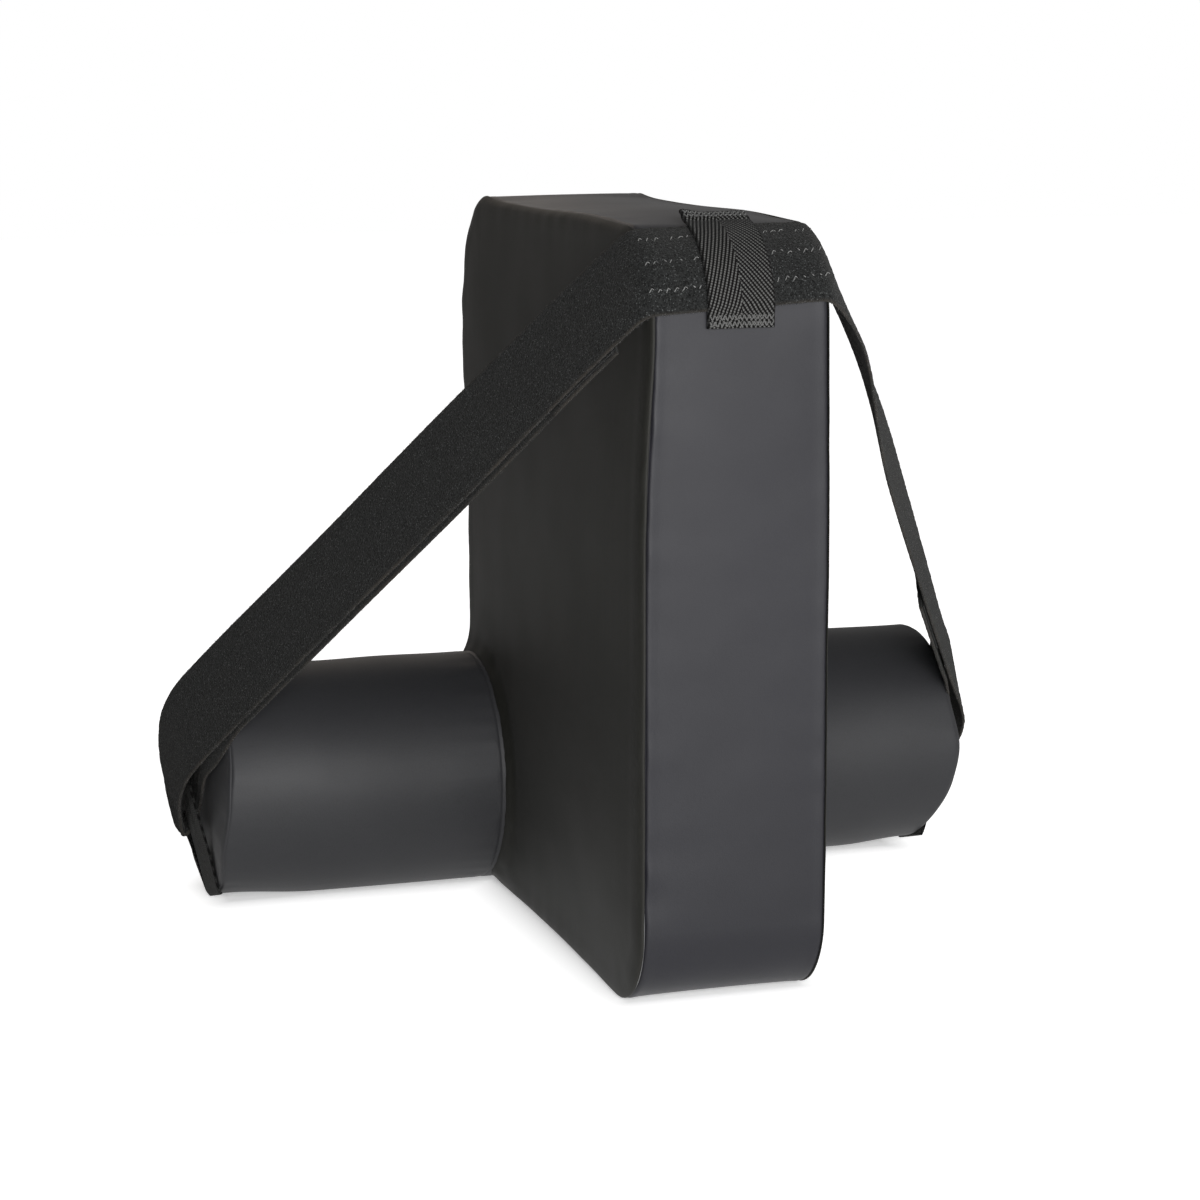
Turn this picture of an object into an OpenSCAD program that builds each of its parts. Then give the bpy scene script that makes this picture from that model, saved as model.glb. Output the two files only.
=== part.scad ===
// Upholstered foam shield: a tall boxed slab crossed at its lower back edge by a
// round roll, with a wide loop strap from the slab's top corner to each roll end.
// +X to the right, +Y to the back, +Z up. The origin is the middle of the slab's base.

/* [Slab] */
// Thickness of the slab across its covers
slab_w = 102; // [90:1:120]
// Depth of the slab from front to back
slab_d = 353; // [320:1:380]
// Height of the slab above the floor
slab_h = 424; // [400:1:450]
// Radius of the slab's rounded profile corners
corner_r = 46; // [40:1:50]
// Thickness of the vinyl cover
skin_t = 1.2; // [1:0.1:1.6]

/* [Roll] */
// Radius of the roll across its cover
roll_r = 71; // [66:1:74]
// Length of the roll between its end planes
roll_len = 464; // [440:1:500]
// Sideways offset of the roll's middle from the slab's middle
roll_shift = 8; // [0:1:10]
// Distance of the roll's axis in front of the slab's back face
roll_inset = 36; // [30:1:45]
// Height of the domed end above the end plane
dome_h = 9; // [6:0.5:10]
// Rounding radius of the roll's rim
rim_r = 6; // [4:1:8]

/* [Strap] */
// Width of the loop strap
strap_w = 57; // [50:1:60]
// Thickness of the loop strap with its pile
strap_t = 2; // [1.6:0.1:2.2]
// Angle on the corner where the strap's lower edge lies
strap_low = 6; // [2:1:8]
// Angle on the corner where the strap's upper edge lies
strap_high = 76; // [72:1:78]
// Angle by which the strap slants up from left to right
strap_slant = 7; // [0:1:8]
// Width of the strap where it is gathered through an anchor
gather_w = 17; // [14:1:18]
// Length of each strap end that peels off
peel_len = 50; // [40:1:60]

/* [Webbing] */
// Width of the keeper and anchor webbing
web_w = 38; // [35:1:40]
// Thickness of the webbing
web_t = 1.5; // [1.2:0.1:1.6]
// Length of each folded hem of the keeper
hem_len = 9; // [7:1:10]

/* [Zip] */
// Length of the zip in the back face
zip_len = 210; // [150:5:215]
// Distance between two zip teeth
tooth_pitch = 3; // [2.5:0.5:4]

/* [Hidden] */

// Smoothness of round faces and of interpolated ribbons
$fn = 72;
ribbon_steps = 5;
ribbon_cols = 6;

// Clearance between neighbouring layers
gap = 0.15;

// Slab faces and the centres of its front top corner
front_y = -slab_d / 2;
back_y = slab_d / 2;
corner_y = front_y + corner_r;
corner_z = slab_h - corner_r;
panel_x = slab_w / 2 - skin_t;

// Height of the join between front and top gusset above the corner's centre, under the strap
join_h = 30;

// Roll axis and end planes
roll_y = back_y - roll_inset;
left_end = roll_len / 2 - roll_shift;
right_end = roll_len / 2 + roll_shift;
dome_r = ((roll_r - rim_r) ^ 2 + dome_h ^ 2) / (2 * dome_h);

// Heel of the slab's base, where it meets the roll's underside
heel_y = roll_y - 30;
heel_z = 24;

// Radius of the strap's mid surface on the corner
strap_r = corner_r + gap + strap_t / 2;
strap_x = slab_w / 2 + 1;
stitch_rows = [22, 41, 61];
stitch_pitch = 6.5;

// Bow of the strap where it leaves the corner's arc
bow_full = strap_r * (1 - cos((strap_high - strap_low) / 2));

// Keeper layer above the strap
keeper_r = corner_r + 2 * gap + strap_t;
keeper_low = 8;
keeper_top = 92;
hem_low = corner_z - keeper_low;

// Layers of a strap leg: returned ribbon and hook patch inside the outer ribbon
return_gap = 3.6;
hook_t = 0.7;
hook_off = 1.8;
return_drop = 1.8;

// Slack of each leg, how far it stands out beside the roll's end at five heights from the rim
// down to the fold and just behind the fold, and the place among its stations where the
// returned ribbon stops: 0 is at the slab's edge and 4 at the roll's rim
left_slack = 2;
right_slack = 5.5;
left_bulge = [19.5, 25, 25, 22.5, 19.5, 13];
right_bulge = [23, 27.5, 22.5, 20, 17, 12];
left_stop = 0.7;
right_stop = 3.2;
rim_place = 4;

// Directions across a leg along its straight run and where it crosses the roll's rim
run_across = unit([0.06, 0.66, 0.75]);
rim_across = unit([0.12, 0.68, 0.72]);

// Zip layers in the back face
zip_top = slab_h - corner_r - 6;
zip_bottom = zip_top - zip_len;
tape_w = 14;
tape_t = 0.8;
chain_w = 5.4;
slot_w = 18;
tape_y = back_y - skin_t - gap - tape_t;
chain_y = back_y - 1.3;

// Zip slider at the closed end of the zip: its plate, lugs and crossbar
slider_l = 13;
slider_w = 8;
slider_z = zip_top - slider_l - 2;
plate_y = back_y - 0.3;
plate_t = 1.5;
lug_x = 2.6;
bar_r = 0.8;
bar_y = back_y + 3.4;
bar_z = slider_z + slider_l / 2;

// Pull tab hanging from the crossbar
pull_l = 24;
pull_w = 7;
pull_t = 1.4;

// ---------- Vector and curve helpers ----------

function unit(v) = v / norm(v);

// Point between four neighbours on a Catmull-Rom curve
function spline4(a, b, c, d, t) =
    0.5 * (2 * b + (c - a) * t + (2 * a - 5 * b + 4 * c - d) * t ^ 2
        + (3 * b - a - 3 * c + d) * t ^ 3);

// Value at position u along a list of points or numbers
function along(list, u) =
    let (last = len(list) - 1, i = min(floor(u), last - 1), t = u - i)
    spline4(list[max(i - 1, 0)], list[i], list[i + 1], list[min(i + 2, last)], t);

function column(rows, k) = [for (row = rows) row[k]];

// Point on the slab's front top corner, at angle a and distance r from the corner's centre
function corner_point(a, r, x) = [x, corner_y - r * cos(a), corner_z + r * sin(a)];

// Slant of the strap at sideways place x
function slant_at(x) = strap_slant * x / slab_w;

// ---------- Sheet solid ----------

// Closed solid between two grids of points with the same rows and columns
module sheet(top, base) {
    rows = len(top);
    cols = len(top[0]);
    count = rows * cols;
    points = concat([for (row = top) each row], [for (row = base) each row]);
    skins = [
        for (i = [0 : rows - 2]) for (j = [0 : cols - 2])
            let (a = i * cols + j, b = a + 1, c = a + cols, d = c + 1)
            each [[a, b, d], [a, d, c], [count + a, count + d, count + b],
                [count + a, count + c, count + d]]
    ];
    ends = [
        for (j = [0 : cols - 2])
            let (a = j, b = j + 1, c = (rows - 1) * cols + j, d = c + 1)
            each [[b, a, count + a], [b, count + a, count + b],
                [c, d, count + d], [c, count + d, count + c]]
    ];
    sides = [
        for (i = [0 : rows - 2])
            let (a = i * cols, b = a + cols, c = a + cols - 1, d = c + cols)
            each [[a, b, count + b], [a, count + b, count + a],
                [d, c, count + c], [d, count + c, count + d]]
    ];
    polyhedron(points = points, faces = concat(skins, ends, sides), convexity = 6);
}

// Ribbon grid through stations of [centre, width direction, width, bow, bow direction],
// set off by a distance along the ribbon's normal
function ribbon_grid(stations, offset, from, to) =
    let (
        centres = column(stations, 0),
        across = column(stations, 1),
        widths = column(stations, 2),
        bows = column(stations, 3),
        bow_dirs = column(stations, 4),
        last = len(stations) - 1,
        count = max(2, ceil((to - from) * ribbon_steps))
    )
    [
        for (k = [0 : count])
            let (
                u = from + (to - from) * k / count,
                ahead = along(centres, min(u + 0.05, last)),
                behind = along(centres, max(u - 0.05, 0)),
                w = unit(along(across, u)),
                bow = max(0, along(bows, u)),
                flat = 1 - min(1, bow / bow_full),
                m = unit(along(bow_dirs, u)),
                n = unit(unit(cross(unit(ahead - behind), w)) * flat + m * (1 - flat))
            )
            [
                for (j = [0 : ribbon_cols])
                    let (v = 2 * j / ribbon_cols - 1)
                    along(centres, u) + w * v * along(widths, u) / 2
                        + m * bow * (1 - v ^ 2) + n * offset
            ]
    ];

// Solid ribbon on the right, or mirrored to the left
module ribbon(stations, offset, thickness, from, to, side) {
    outer = ribbon_grid(stations, offset + thickness / 2, from, to);
    inner = ribbon_grid(stations, offset - thickness / 2, from, to);
    if (side > 0) sheet(outer, inner);
    else mirror([1, 0, 0]) sheet(outer, inner);
}

// ---------- Strap path ----------

// Low and high edge of the strap at the slab's side, and the way it faces there
function edge_low(side) = corner_point(strap_low + side * strap_slant / 2, strap_r, strap_x);
function edge_high(side) = corner_point(strap_high + side * strap_slant / 2, strap_r, strap_x);
function edge_mid(side) = (edge_low(side) + edge_high(side)) / 2;
function edge_out(side) = unit(corner_point(
    (strap_low + strap_high + side * strap_slant) / 2, 1, 0) - [0, corner_y, corner_z]);

// Place where a leg crosses the roll's rim
function rim_point(end_x) = [end_x + 4.2, roll_y - 44, 2 * roll_r - 5];

// Point on the straight run of a leg: t is 0 at the slab's edge and 1 at the rim
function run_point(side, end_x, slack, t) =
    edge_mid(side) + (rim_point(end_x) - edge_mid(side)) * t
        + slack * (1 - t) * [1, 0, 0];

function flat_station(p, w, width) = [p, unit(w), width, 0, [0, 0, 1]];

// Point beside the roll's end: out from the end plane, back from the axis, above the floor
function end_point(end_x, out, back, up) = [end_x + out, roll_y + back, up];

// Outer ribbon from the slab's edge down to the fold
function outer_stations(side, end_x, slack, bulge) = [
    [edge_mid(side), unit(edge_high(side) - edge_low(side)),
        norm(edge_high(side) - edge_low(side)), bow_full, edge_out(side)],
    [run_point(side, end_x, slack, 0.12) + slack * [0, -0.5, 0.2],
        unit([0.03 - 0.03 * slack, 0.65, 0.76]), strap_w, 0, edge_out(side)],
    flat_station(run_point(side, end_x, slack, 0.4), run_across, strap_w),
    flat_station(run_point(side, end_x, slack, 0.7), run_across, strap_w),
    flat_station(rim_point(end_x), rim_across, strap_w),
    flat_station(end_point(end_x, bulge[0], -19, 110), [0.22, 0.83, 0.5], strap_w),
    flat_station(end_point(end_x, bulge[1], -5, 88), [0.12, 0.95, 0.25], 0.98 * strap_w),
    flat_station(end_point(end_x, bulge[2], -1.5, 67), [0, 1, 0.05], 0.8 * strap_w),
    flat_station(end_point(end_x, bulge[3], 0, 52), [0, 1, 0], gather_w + 10)
];

// Fold under the anchor and ribbon back up to the rim
function fold_stations(end_x, bulge) = [
    flat_station(end_point(end_x, bulge[4], 0, 42.5), [0, 1, 0], gather_w + 3),
    flat_station(end_point(end_x, bulge[5], 0, 52), [0, 1, 0], gather_w + 6),
    flat_station(end_point(end_x, 11.5, -2, 67), [0, 1, 0.05], 0.65 * strap_w),
    flat_station(end_point(end_x, 12, -9, 89), [0.05, 0.97, 0.22], 0.92 * strap_w),
    flat_station(end_point(end_x, 10, -24, 108), [0.12, 0.85, 0.5], strap_w)
];

// Station of the returned ribbon: inside the outer ribbon at place u, and a little lower
function return_station(stations, u) =
    let (
        centres = column(stations, 0),
        w = unit(along(column(stations, 1), u)),
        n = unit(cross(unit(along(centres, u + 0.05) - along(centres, u - 0.05)), w))
    )
    flat_station(along(centres, u) - return_gap * n - return_drop * w, w, strap_w);

// Place that lies a length further along the outer ribbon than place u
function place_after(outer, u, length) =
    let (i = floor(u), step = norm(outer[i + 1][0] - outer[i][0]))
    length > (i + 1 - u) * step ? place_after(outer, i + 1, length - (i + 1 - u) * step)
        : u + length / step;

// Place where the part that peels off starts, further down than place stop where it ends
function peel_start(outer, stop) = place_after(outer, stop, peel_len);

// Returned ribbon from the rim to place start, in even steps
function return_stations(outer, start) =
    let (steps = max(1, round((rim_place - start) / 0.3)))
    [
        for (k = [rim_place - start < 0.3 ? 1 : 0 : steps])
            return_station(outer, rim_place - (rim_place - start) * k / steps)
    ];

module strap_leg(side, end_x, slack, bulge, stop) {
    outer = outer_stations(side, end_x, slack, bulge);
    path = concat(outer, fold_stations(end_x, bulge), return_stations(outer, peel_start(outer, stop)));
    ribbon(path, 0, strap_t, 0, len(path) - 1, side);
}

// Stations of the part that peels off, kept clear of the ribbon it continues
function peel_stations(outer, stop) =
    let (start = peel_start(outer, stop) - 0.009)
    [for (k = [0 : 3]) return_station(outer, start + (stop - start) * k / 3)];

module strap_end(side, end_x, slack, bulge, stop) {
    path = peel_stations(outer_stations(side, end_x, slack, bulge), stop);
    ribbon(path, 0, strap_t, 0, 3, side);
}

// Hook patch on the outer face of the part that peels off
module hook_patch(side, end_x, slack, bulge, stop) {
    path = peel_stations(outer_stations(side, end_x, slack, bulge), stop);
    patch = [for (s = path) [s[0], s[1], s[2] - 3, s[3], s[4]]];
    ribbon(patch, hook_off - return_gap, hook_t, 0.1, 2.9, side);
}

// ---------- Slab ----------

// Side outline of the slab, drawn as depth by height and inset all round
module outline(inset) {
    r = corner_r - inset;
    translate([corner_y, inset]) square([slab_d - 2 * corner_r, slab_h - 2 * inset]);
    translate([front_y + inset, corner_r]) square([slab_d - 2 * inset, slab_h - 2 * corner_r]);
    for (y = [corner_y, -corner_y], z = [corner_r, corner_z])
        translate([y, z]) circle(r);
}

// Where the roll passes through the slab, with the heel cut away below it
module roll_pass() {
    translate([roll_y, roll_r]) circle(roll_r + gap);
    translate([heel_y, -1]) square([slab_d, heel_z + 1]);
}

// Turns a drawing of depth by height into a solid centred across the slab
module across_slab(width) {
    translate([-width / 2, 0, 0])
        rotate([90, 0, 90])
            linear_extrude(width) children();
}

module slab_foam() {
    color("gainsboro") difference() {
        across_slab(2 * (panel_x - gap))
            difference() {
                outline(skin_t + gap);
                roll_pass();
            }
        recess = skin_t + tape_t + 3 * gap;
        translate([-tape_w - 3, back_y - recess, zip_bottom - 12])
            cube([2 * (tape_w + 3), recess, zip_len + 20]);
    }
}

module side_panel(side) {
    color("#282824")
        translate([side * (panel_x + skin_t / 2), 0, 0])
            across_slab(skin_t)
                difference() {
                    outline(0);
                    roll_pass();
                }
}

// Boxing strip round the slab's edge, kept where the drawn region covers it
module gusset() {
    across_slab(2 * (panel_x - gap / 2))
        intersection() {
            difference() {
                outline(0);
                outline(skin_t);
                roll_pass();
            }
            children();
        }
}

module front_gusset() {
    color("#4d4d51") gusset() {
        translate([front_y - 1, -1]) square([corner_r + 1, corner_z + join_h + 1]);
        translate([front_y - 1, -1]) square([slab_d, corner_r + 1]);
    }
}

module top_gusset() {
    color("#5a5450") gusset() {
        translate([front_y - 1, corner_z + join_h + gap])
            square([slab_d + 2, corner_r]);
        translate([0, corner_z + gap]) square([slab_d, corner_r]);
    }
}

module back_gusset(side) {
    color("#3a3a3a") intersection() {
        difference() {
            gusset() translate([0, corner_r]) square([slab_d, corner_z - corner_r]);
            translate([-slot_w / 2, back_y - corner_r, zip_bottom - 4])
                cube([slot_w, 2 * corner_r, zip_len + 8]);
        }
        translate([side * slab_w / 2 + side * gap / 2, back_y, slab_h / 2])
            cube([slab_w, 2 * corner_r, slab_h], center = true);
    }
}

// ---------- Roll ----------

// Turns a profile of radius by outward distance into a round end on the given side
module at_roll_end(side) {
    mirror([side < 0 ? 1 : 0, 0, 0])
        translate([side < 0 ? left_end : right_end, roll_y, roll_r])
            rotate([0, 90, 0])
                rotate_extrude() children();
}

// Domed end with a rounded rim, as radius by distance beyond the end plane
module end_profile(inset) {
    flat_r = roll_r - rim_r;
    translate([0, -rim_r]) square([flat_r, rim_r - inset]);
    intersection() {
        translate([flat_r, -rim_r]) circle(rim_r - inset);
        translate([flat_r, -rim_r]) square(rim_r);
    }
    intersection() {
        translate([0, dome_h - dome_r]) circle(dome_r - inset, $fn = 240);
        translate([0, -rim_r]) square([flat_r, rim_r + dome_h]);
    }
}

module roll_tube(r, inset) {
    translate([-left_end + inset, roll_y, roll_r])
        rotate([0, 90, 0])
            cylinder(r = r, h = roll_len - 2 * inset);
}

module roll_sleeve() {
    color("#444446") difference() {
        roll_tube(roll_r, rim_r);
        roll_tube(roll_r - skin_t, rim_r - 1);
    }
}

module roll_cap(side) {
    color("#3b3c3c") at_roll_end(side)
        difference() {
            end_profile(0);
            end_profile(skin_t);
            translate([0, -rim_r - 1]) square([roll_r, 1 + gap]);
        }
}

module roll_foam() {
    inset = skin_t + gap;
    color("gainsboro") {
        roll_tube(roll_r - inset, rim_r);
        for (side = [-1, 1]) at_roll_end(side) end_profile(inset);
    }
}

// ---------- Strap over the corner ----------

module strap_centre() {
    rows = 14;
    cols = 12;
    half = strap_x - gap;
    function grid(r) = [
        for (i = [0 : rows])
            let (x = half * (2 * i / rows - 1))
            [for (j = [0 : cols])
                corner_point(strap_low + slant_at(x) + (strap_high - strap_low) * j / cols, r, x)]
    ];
    color("#1c1e1e")
        sheet(grid(strap_r + strap_t / 2), grid(strap_r - strap_t / 2));
}

// Short thread lying across the slab at one place on the strap or the keeper
module stitch(length, turn) {
    rotate([0, 0, turn])
        rotate([0, 90, 0])
            cylinder(r = 0.35, h = length, center = true, $fn = 8);
}

// Places its children on the corner at angle a, distance r and sideways place x
module on_corner(a, r, x) {
    translate(corner_point(a, r, x))
        rotate([a - 90, 0, 0]) children();
}

module strap_stitches() {
    stitch_r = strap_r + strap_t / 2 + 0.35 + 2 * gap;
    first = web_w / 2 + 4;
    count = floor((slab_w / 2 - 3 - first) / stitch_pitch);
    color("#9a9a98")
        for (row = stitch_rows, side = [-1, 1], k = [0 : count])
            let (x = side * (first + k * stitch_pitch))
            on_corner(row + slant_at(x), stitch_r, x) stitch(3.6, 14);
}

// ---------- Keeper ----------

module keeper() {
    top_hem = hem_len / keeper_r * 180 / PI;
    lift = keeper_r - corner_r;
    color("#222323") {
        across_slab(web_w) {
            sector(keeper_r, keeper_r + web_t, 0, keeper_top);
            sector(corner_r + gap, keeper_r + 1.6 * web_t, keeper_top - top_hem, keeper_top);
            translate([front_y - lift - web_t, hem_low]) square([web_t, keeper_low]);
            translate([front_y - lift - 1.6 * web_t, hem_low])
                square([lift + 1.6 * web_t - gap, hem_len]);
        }
    }
}

// Ring sector on the front top corner between two radii and two angles
module sector(r0, r1, from, to) {
    mid = (from + to) / 2;
    reach = 3 * r1;
    translate([corner_y, corner_z])
        intersection() {
            difference() {
                circle(r1);
                circle(r0);
            }
            polygon([[0, 0], for (a = [from, mid, to]) reach * [-cos(a), sin(a)]]);
        }
}

module keeper_stitches() {
    count = 6;
    step = (web_w - 6) / count;
    thread_r = keeper_r + 1.6 * web_t + 0.35 + gap;
    color("#8a8a88")
        for (k = [0 : count])
            let (x = step * (k - count / 2)) {
                for (up = [2, hem_len - 2])
                    translate([x, front_y - (thread_r - corner_r), hem_low + up])
                        rotate([-90, 0, 0]) stitch(3, 0);
                for (back = [2.5, 7])
                    on_corner(keeper_top - back / keeper_r * 180 / PI, thread_r, x) stitch(3, 0);
            }
}

// ---------- Anchors ----------

// Station of an anchor loop: radius and angle from the roll's axis, outward distance
function anchor_point(end_x, r, a, out) = [end_x + out, roll_y - r * sin(a), roll_r - r * cos(a)];

// Half of an anchor loop: way is 1 for the front half and -1 for the back half
function anchor_half(end_x, way) = [
    flat_station(anchor_point(end_x, roll_r - 2, way * 16.5, -0.4),
        [0, way * 0.96, -0.28], web_w),
    flat_station(anchor_point(end_x, roll_r - 7, way * 17, 2.7),
        [0, way * 0.96, -0.29], web_w),
    flat_station(anchor_point(end_x, 47, way * 25, 7.5),
        [0, way * 0.9, -0.44], 0.9 * web_w),
    flat_station(anchor_point(end_x, 27, way * 50, 15.6),
        [0, way * 0.6, -0.8], 0.66 * web_w)
];

module anchor(side, end_x) {
    front = anchor_half(end_x, 1);
    back = anchor_half(end_x, -1);
    apex = flat_station(anchor_point(end_x, 4.5, 0, 17.2), [0, 0, -1], 0.66 * web_w);
    path = concat(front, [apex], [for (k = [3 : -1 : 0]) back[k]]);
    color("#222323") ribbon(path, 0, web_t, 0, len(path) - 1, side);
}

// ---------- Zip in the back face ----------

// Block centred sideways, from place y backwards and from height z upwards
module block(w, y, depth, z, height) {
    translate([-w / 2, y, z]) cube([w, depth, height]);
}

module zip_tapes() {
    color("#1b1b1c")
        for (side = [-1, 1])
            translate([side * (chain_w / 2 + gap + tape_w / 2), 0, 0])
                block(tape_w, tape_y, tape_t, zip_bottom - 6, zip_len + 10);
}

module zip_coil() {
    teeth = floor(zip_len / tooth_pitch) - 1;
    color("#242426") {
        block(chain_w / 3, chain_y - 0.5, 1, zip_bottom, zip_len - 1);
        for (k = [0 : teeth - 1])
            block(chain_w, chain_y - 0.8, 1.6, zip_bottom + 1 + k * tooth_pitch, tooth_pitch * 0.6);
    }
}

module zip_stops() {
    color("#4a4a4c") {
        block(chain_w, chain_y - 0.8, 1.8, zip_bottom - 4, 3.6);
        block(chain_w, chain_y - 0.8, 1.8, zip_top - 0.4, 3);
    }
}

module zip_slider() {
    color("#2c2c2e") {
        block(slider_w, plate_y, plate_t, slider_z, slider_l);
        for (side = [-1, 1]) {
            translate([side * (chain_w / 2 + gap + 0.4), 0, 0])
                block(0.8, plate_y - 0.7, 0.8, slider_z, slider_l);
            translate([side * lug_x, 0, 0])
                block(1, plate_y + plate_t / 2, bar_y + bar_r - plate_y - plate_t / 2, bar_z - 2, 4);
        }
        translate([0, bar_y, bar_z]) rotate([0, 90, 0])
            cylinder(r = bar_r, h = 2 * lug_x, center = true);
    }
}

module zip_pull() {
    eye_w = 2 * lug_x - 1 - 2 * gap;
    color("#2c2c2e") difference() {
        union() {
            translate([0, bar_y, bar_z]) rotate([0, 90, 0])
                cylinder(r = bar_r + 0.9, h = eye_w, center = true);
            block(eye_w, bar_y - pull_t / 2, pull_t, bar_z - 6, 6);
            block(pull_w, bar_y - pull_t / 2, pull_t, bar_z - pull_l, pull_l - 5);
        }
        translate([0, bar_y, bar_z]) rotate([0, 90, 0])
            cylinder(r = bar_r + 0.1, h = 2 * pull_w, center = true);
    }
}

// ---------- Sub-parts ----------

module strap_left_leg() {
    color("#1c1e1e") strap_leg(-1, left_end, left_slack, left_bulge, left_stop);
}

module strap_right_leg() {
    color("#1c1e1e") strap_leg(1, right_end, right_slack, right_bulge, right_stop);
}

module strap_left_end() {
    color("#242626") strap_end(-1, left_end, left_slack, left_bulge, left_stop);
}

module strap_right_end() {
    color("#242626") strap_end(1, right_end, right_slack, right_bulge, right_stop);
}

module left_hook_patch() {
    color("#101010") hook_patch(-1, left_end, left_slack, left_bulge, left_stop);
}

module right_hook_patch() {
    color("#101010") hook_patch(1, right_end, right_slack, right_bulge, right_stop);
}

slab_foam();
roll_foam();
side_panel(-1);  // left_side_panel
side_panel(1);  // right_side_panel
front_gusset();
top_gusset();
back_gusset(-1);  // back_gusset_left
back_gusset(1);  // back_gusset_right
roll_sleeve();
roll_cap(-1);  // roll_left_cap
roll_cap(1);  // roll_right_cap
strap_centre();
strap_left_leg();
strap_right_leg();
strap_left_end();
strap_right_end();
left_hook_patch();
right_hook_patch();
strap_stitches();
keeper();
keeper_stitches();
anchor(-1, left_end);  // left_anchor
anchor(1, right_end);  // right_anchor
zip_tapes();
zip_coil();
zip_stops();
zip_slider();
zip_pull();
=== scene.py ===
import math

import bmesh
import bpy
import numpy as np
from mathutils import Matrix, Vector, kdtree


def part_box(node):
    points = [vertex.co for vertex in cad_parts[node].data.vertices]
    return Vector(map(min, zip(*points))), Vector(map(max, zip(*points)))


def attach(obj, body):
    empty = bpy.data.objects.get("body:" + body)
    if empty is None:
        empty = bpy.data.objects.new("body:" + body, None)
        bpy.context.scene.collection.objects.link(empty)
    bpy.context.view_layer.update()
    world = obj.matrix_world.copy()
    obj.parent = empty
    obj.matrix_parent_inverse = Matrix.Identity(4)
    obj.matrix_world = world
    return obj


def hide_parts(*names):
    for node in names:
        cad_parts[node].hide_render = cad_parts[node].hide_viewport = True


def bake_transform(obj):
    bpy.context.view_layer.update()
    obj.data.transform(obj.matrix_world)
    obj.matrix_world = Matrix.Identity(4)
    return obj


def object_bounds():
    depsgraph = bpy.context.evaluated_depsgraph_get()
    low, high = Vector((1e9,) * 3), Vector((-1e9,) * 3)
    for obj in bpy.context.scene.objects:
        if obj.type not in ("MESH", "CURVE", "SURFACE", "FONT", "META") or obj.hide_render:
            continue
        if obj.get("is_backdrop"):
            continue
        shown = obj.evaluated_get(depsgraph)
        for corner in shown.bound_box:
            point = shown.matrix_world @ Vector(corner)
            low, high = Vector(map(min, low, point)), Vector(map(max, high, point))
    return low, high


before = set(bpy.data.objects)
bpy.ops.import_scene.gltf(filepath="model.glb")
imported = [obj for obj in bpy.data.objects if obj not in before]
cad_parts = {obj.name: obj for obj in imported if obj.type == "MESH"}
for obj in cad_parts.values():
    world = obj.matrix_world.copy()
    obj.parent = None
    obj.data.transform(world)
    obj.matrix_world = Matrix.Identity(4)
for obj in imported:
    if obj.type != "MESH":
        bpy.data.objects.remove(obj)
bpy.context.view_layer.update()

MM = 0.001


# ---------- Sizes from the CAD frame, in millimetres ----------

def box_mm(node):
    low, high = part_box(node)
    return np.array(low) / MM, np.array(high) / MM


panel_low, panel_high = box_mm("left_side_panel")
right_low, right_high = box_mm("right_side_panel")
sleeve_low, sleeve_high = box_mm("roll_sleeve")
cap_low, _ = box_mm("roll_left_cap")
_, cap_high = box_mm("roll_right_cap")

HALF_W = right_high[0]
FRONT_Y, BACK_Y = panel_low[1], panel_high[1]
SLAB_H = panel_high[2]
CORNER_R = 46.0
CORE_Y = BACK_Y - CORNER_R
CORE_LOW, CORE_HIGH = CORNER_R, SLAB_H - CORNER_R
HEEL_Y = 110.5

ROLL_R = (sleeve_high[2] - sleeve_low[2]) / 2
ROLL_Y = (sleeve_high[1] + sleeve_low[1]) / 2
RIM_R = 6.0
DOME_H = 9.0
LEFT_END = -cap_low[0] - DOME_H
RIGHT_END = cap_high[0] - DOME_H

STRAP_W, STRAP_T = 57.0, 2.0
STRAP_LOW, STRAP_HIGH, STRAP_SLANT = 6.0, 76.0, 7.0
STRAP_R = CORNER_R + 0.15 + STRAP_T / 2
STRAP_X = HALF_W + 1
WEB_W, WEB_T = 38.0, 1.5


# ---------- Number helpers ----------

def unit(v):
    v = np.asarray(v, float)
    return v / np.linalg.norm(v)


def smooth(x, low, high):
    t = np.clip((np.asarray(x, float) - low) / (high - low), 0, 1)
    return t * t * (3 - 2 * t)


def waves(points, length, seed, count=14):
    """Smooth, repeatable unevenness between about -1 and 1 at places in millimetres."""
    rng = np.random.RandomState(seed)
    points = np.asarray(points, float)
    total = np.zeros(points.shape[:-1])
    for _ in range(count):
        way = unit(rng.normal(size=3))
        k = 2 * math.pi / (length * rng.uniform(0.6, 1.8))
        total += np.sin(points @ way * k + rng.uniform(0, 2 * math.pi))
    return total / math.sqrt(count * 2)


def spline_at(values, u):
    values = np.asarray(values, float)
    last = len(values) - 1
    i = min(int(math.floor(u)), last - 1)
    t = u - i
    a, b = values[max(i - 1, 0)], values[i]
    c, d = values[i + 1], values[min(i + 2, last)]
    return 0.5 * (2 * b + (c - a) * t + (2 * a - 5 * b + 4 * c - d) * t ** 2
                  + (3 * b - a - 3 * c + d) * t ** 3)


# ---------- Mesh helpers ----------

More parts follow.
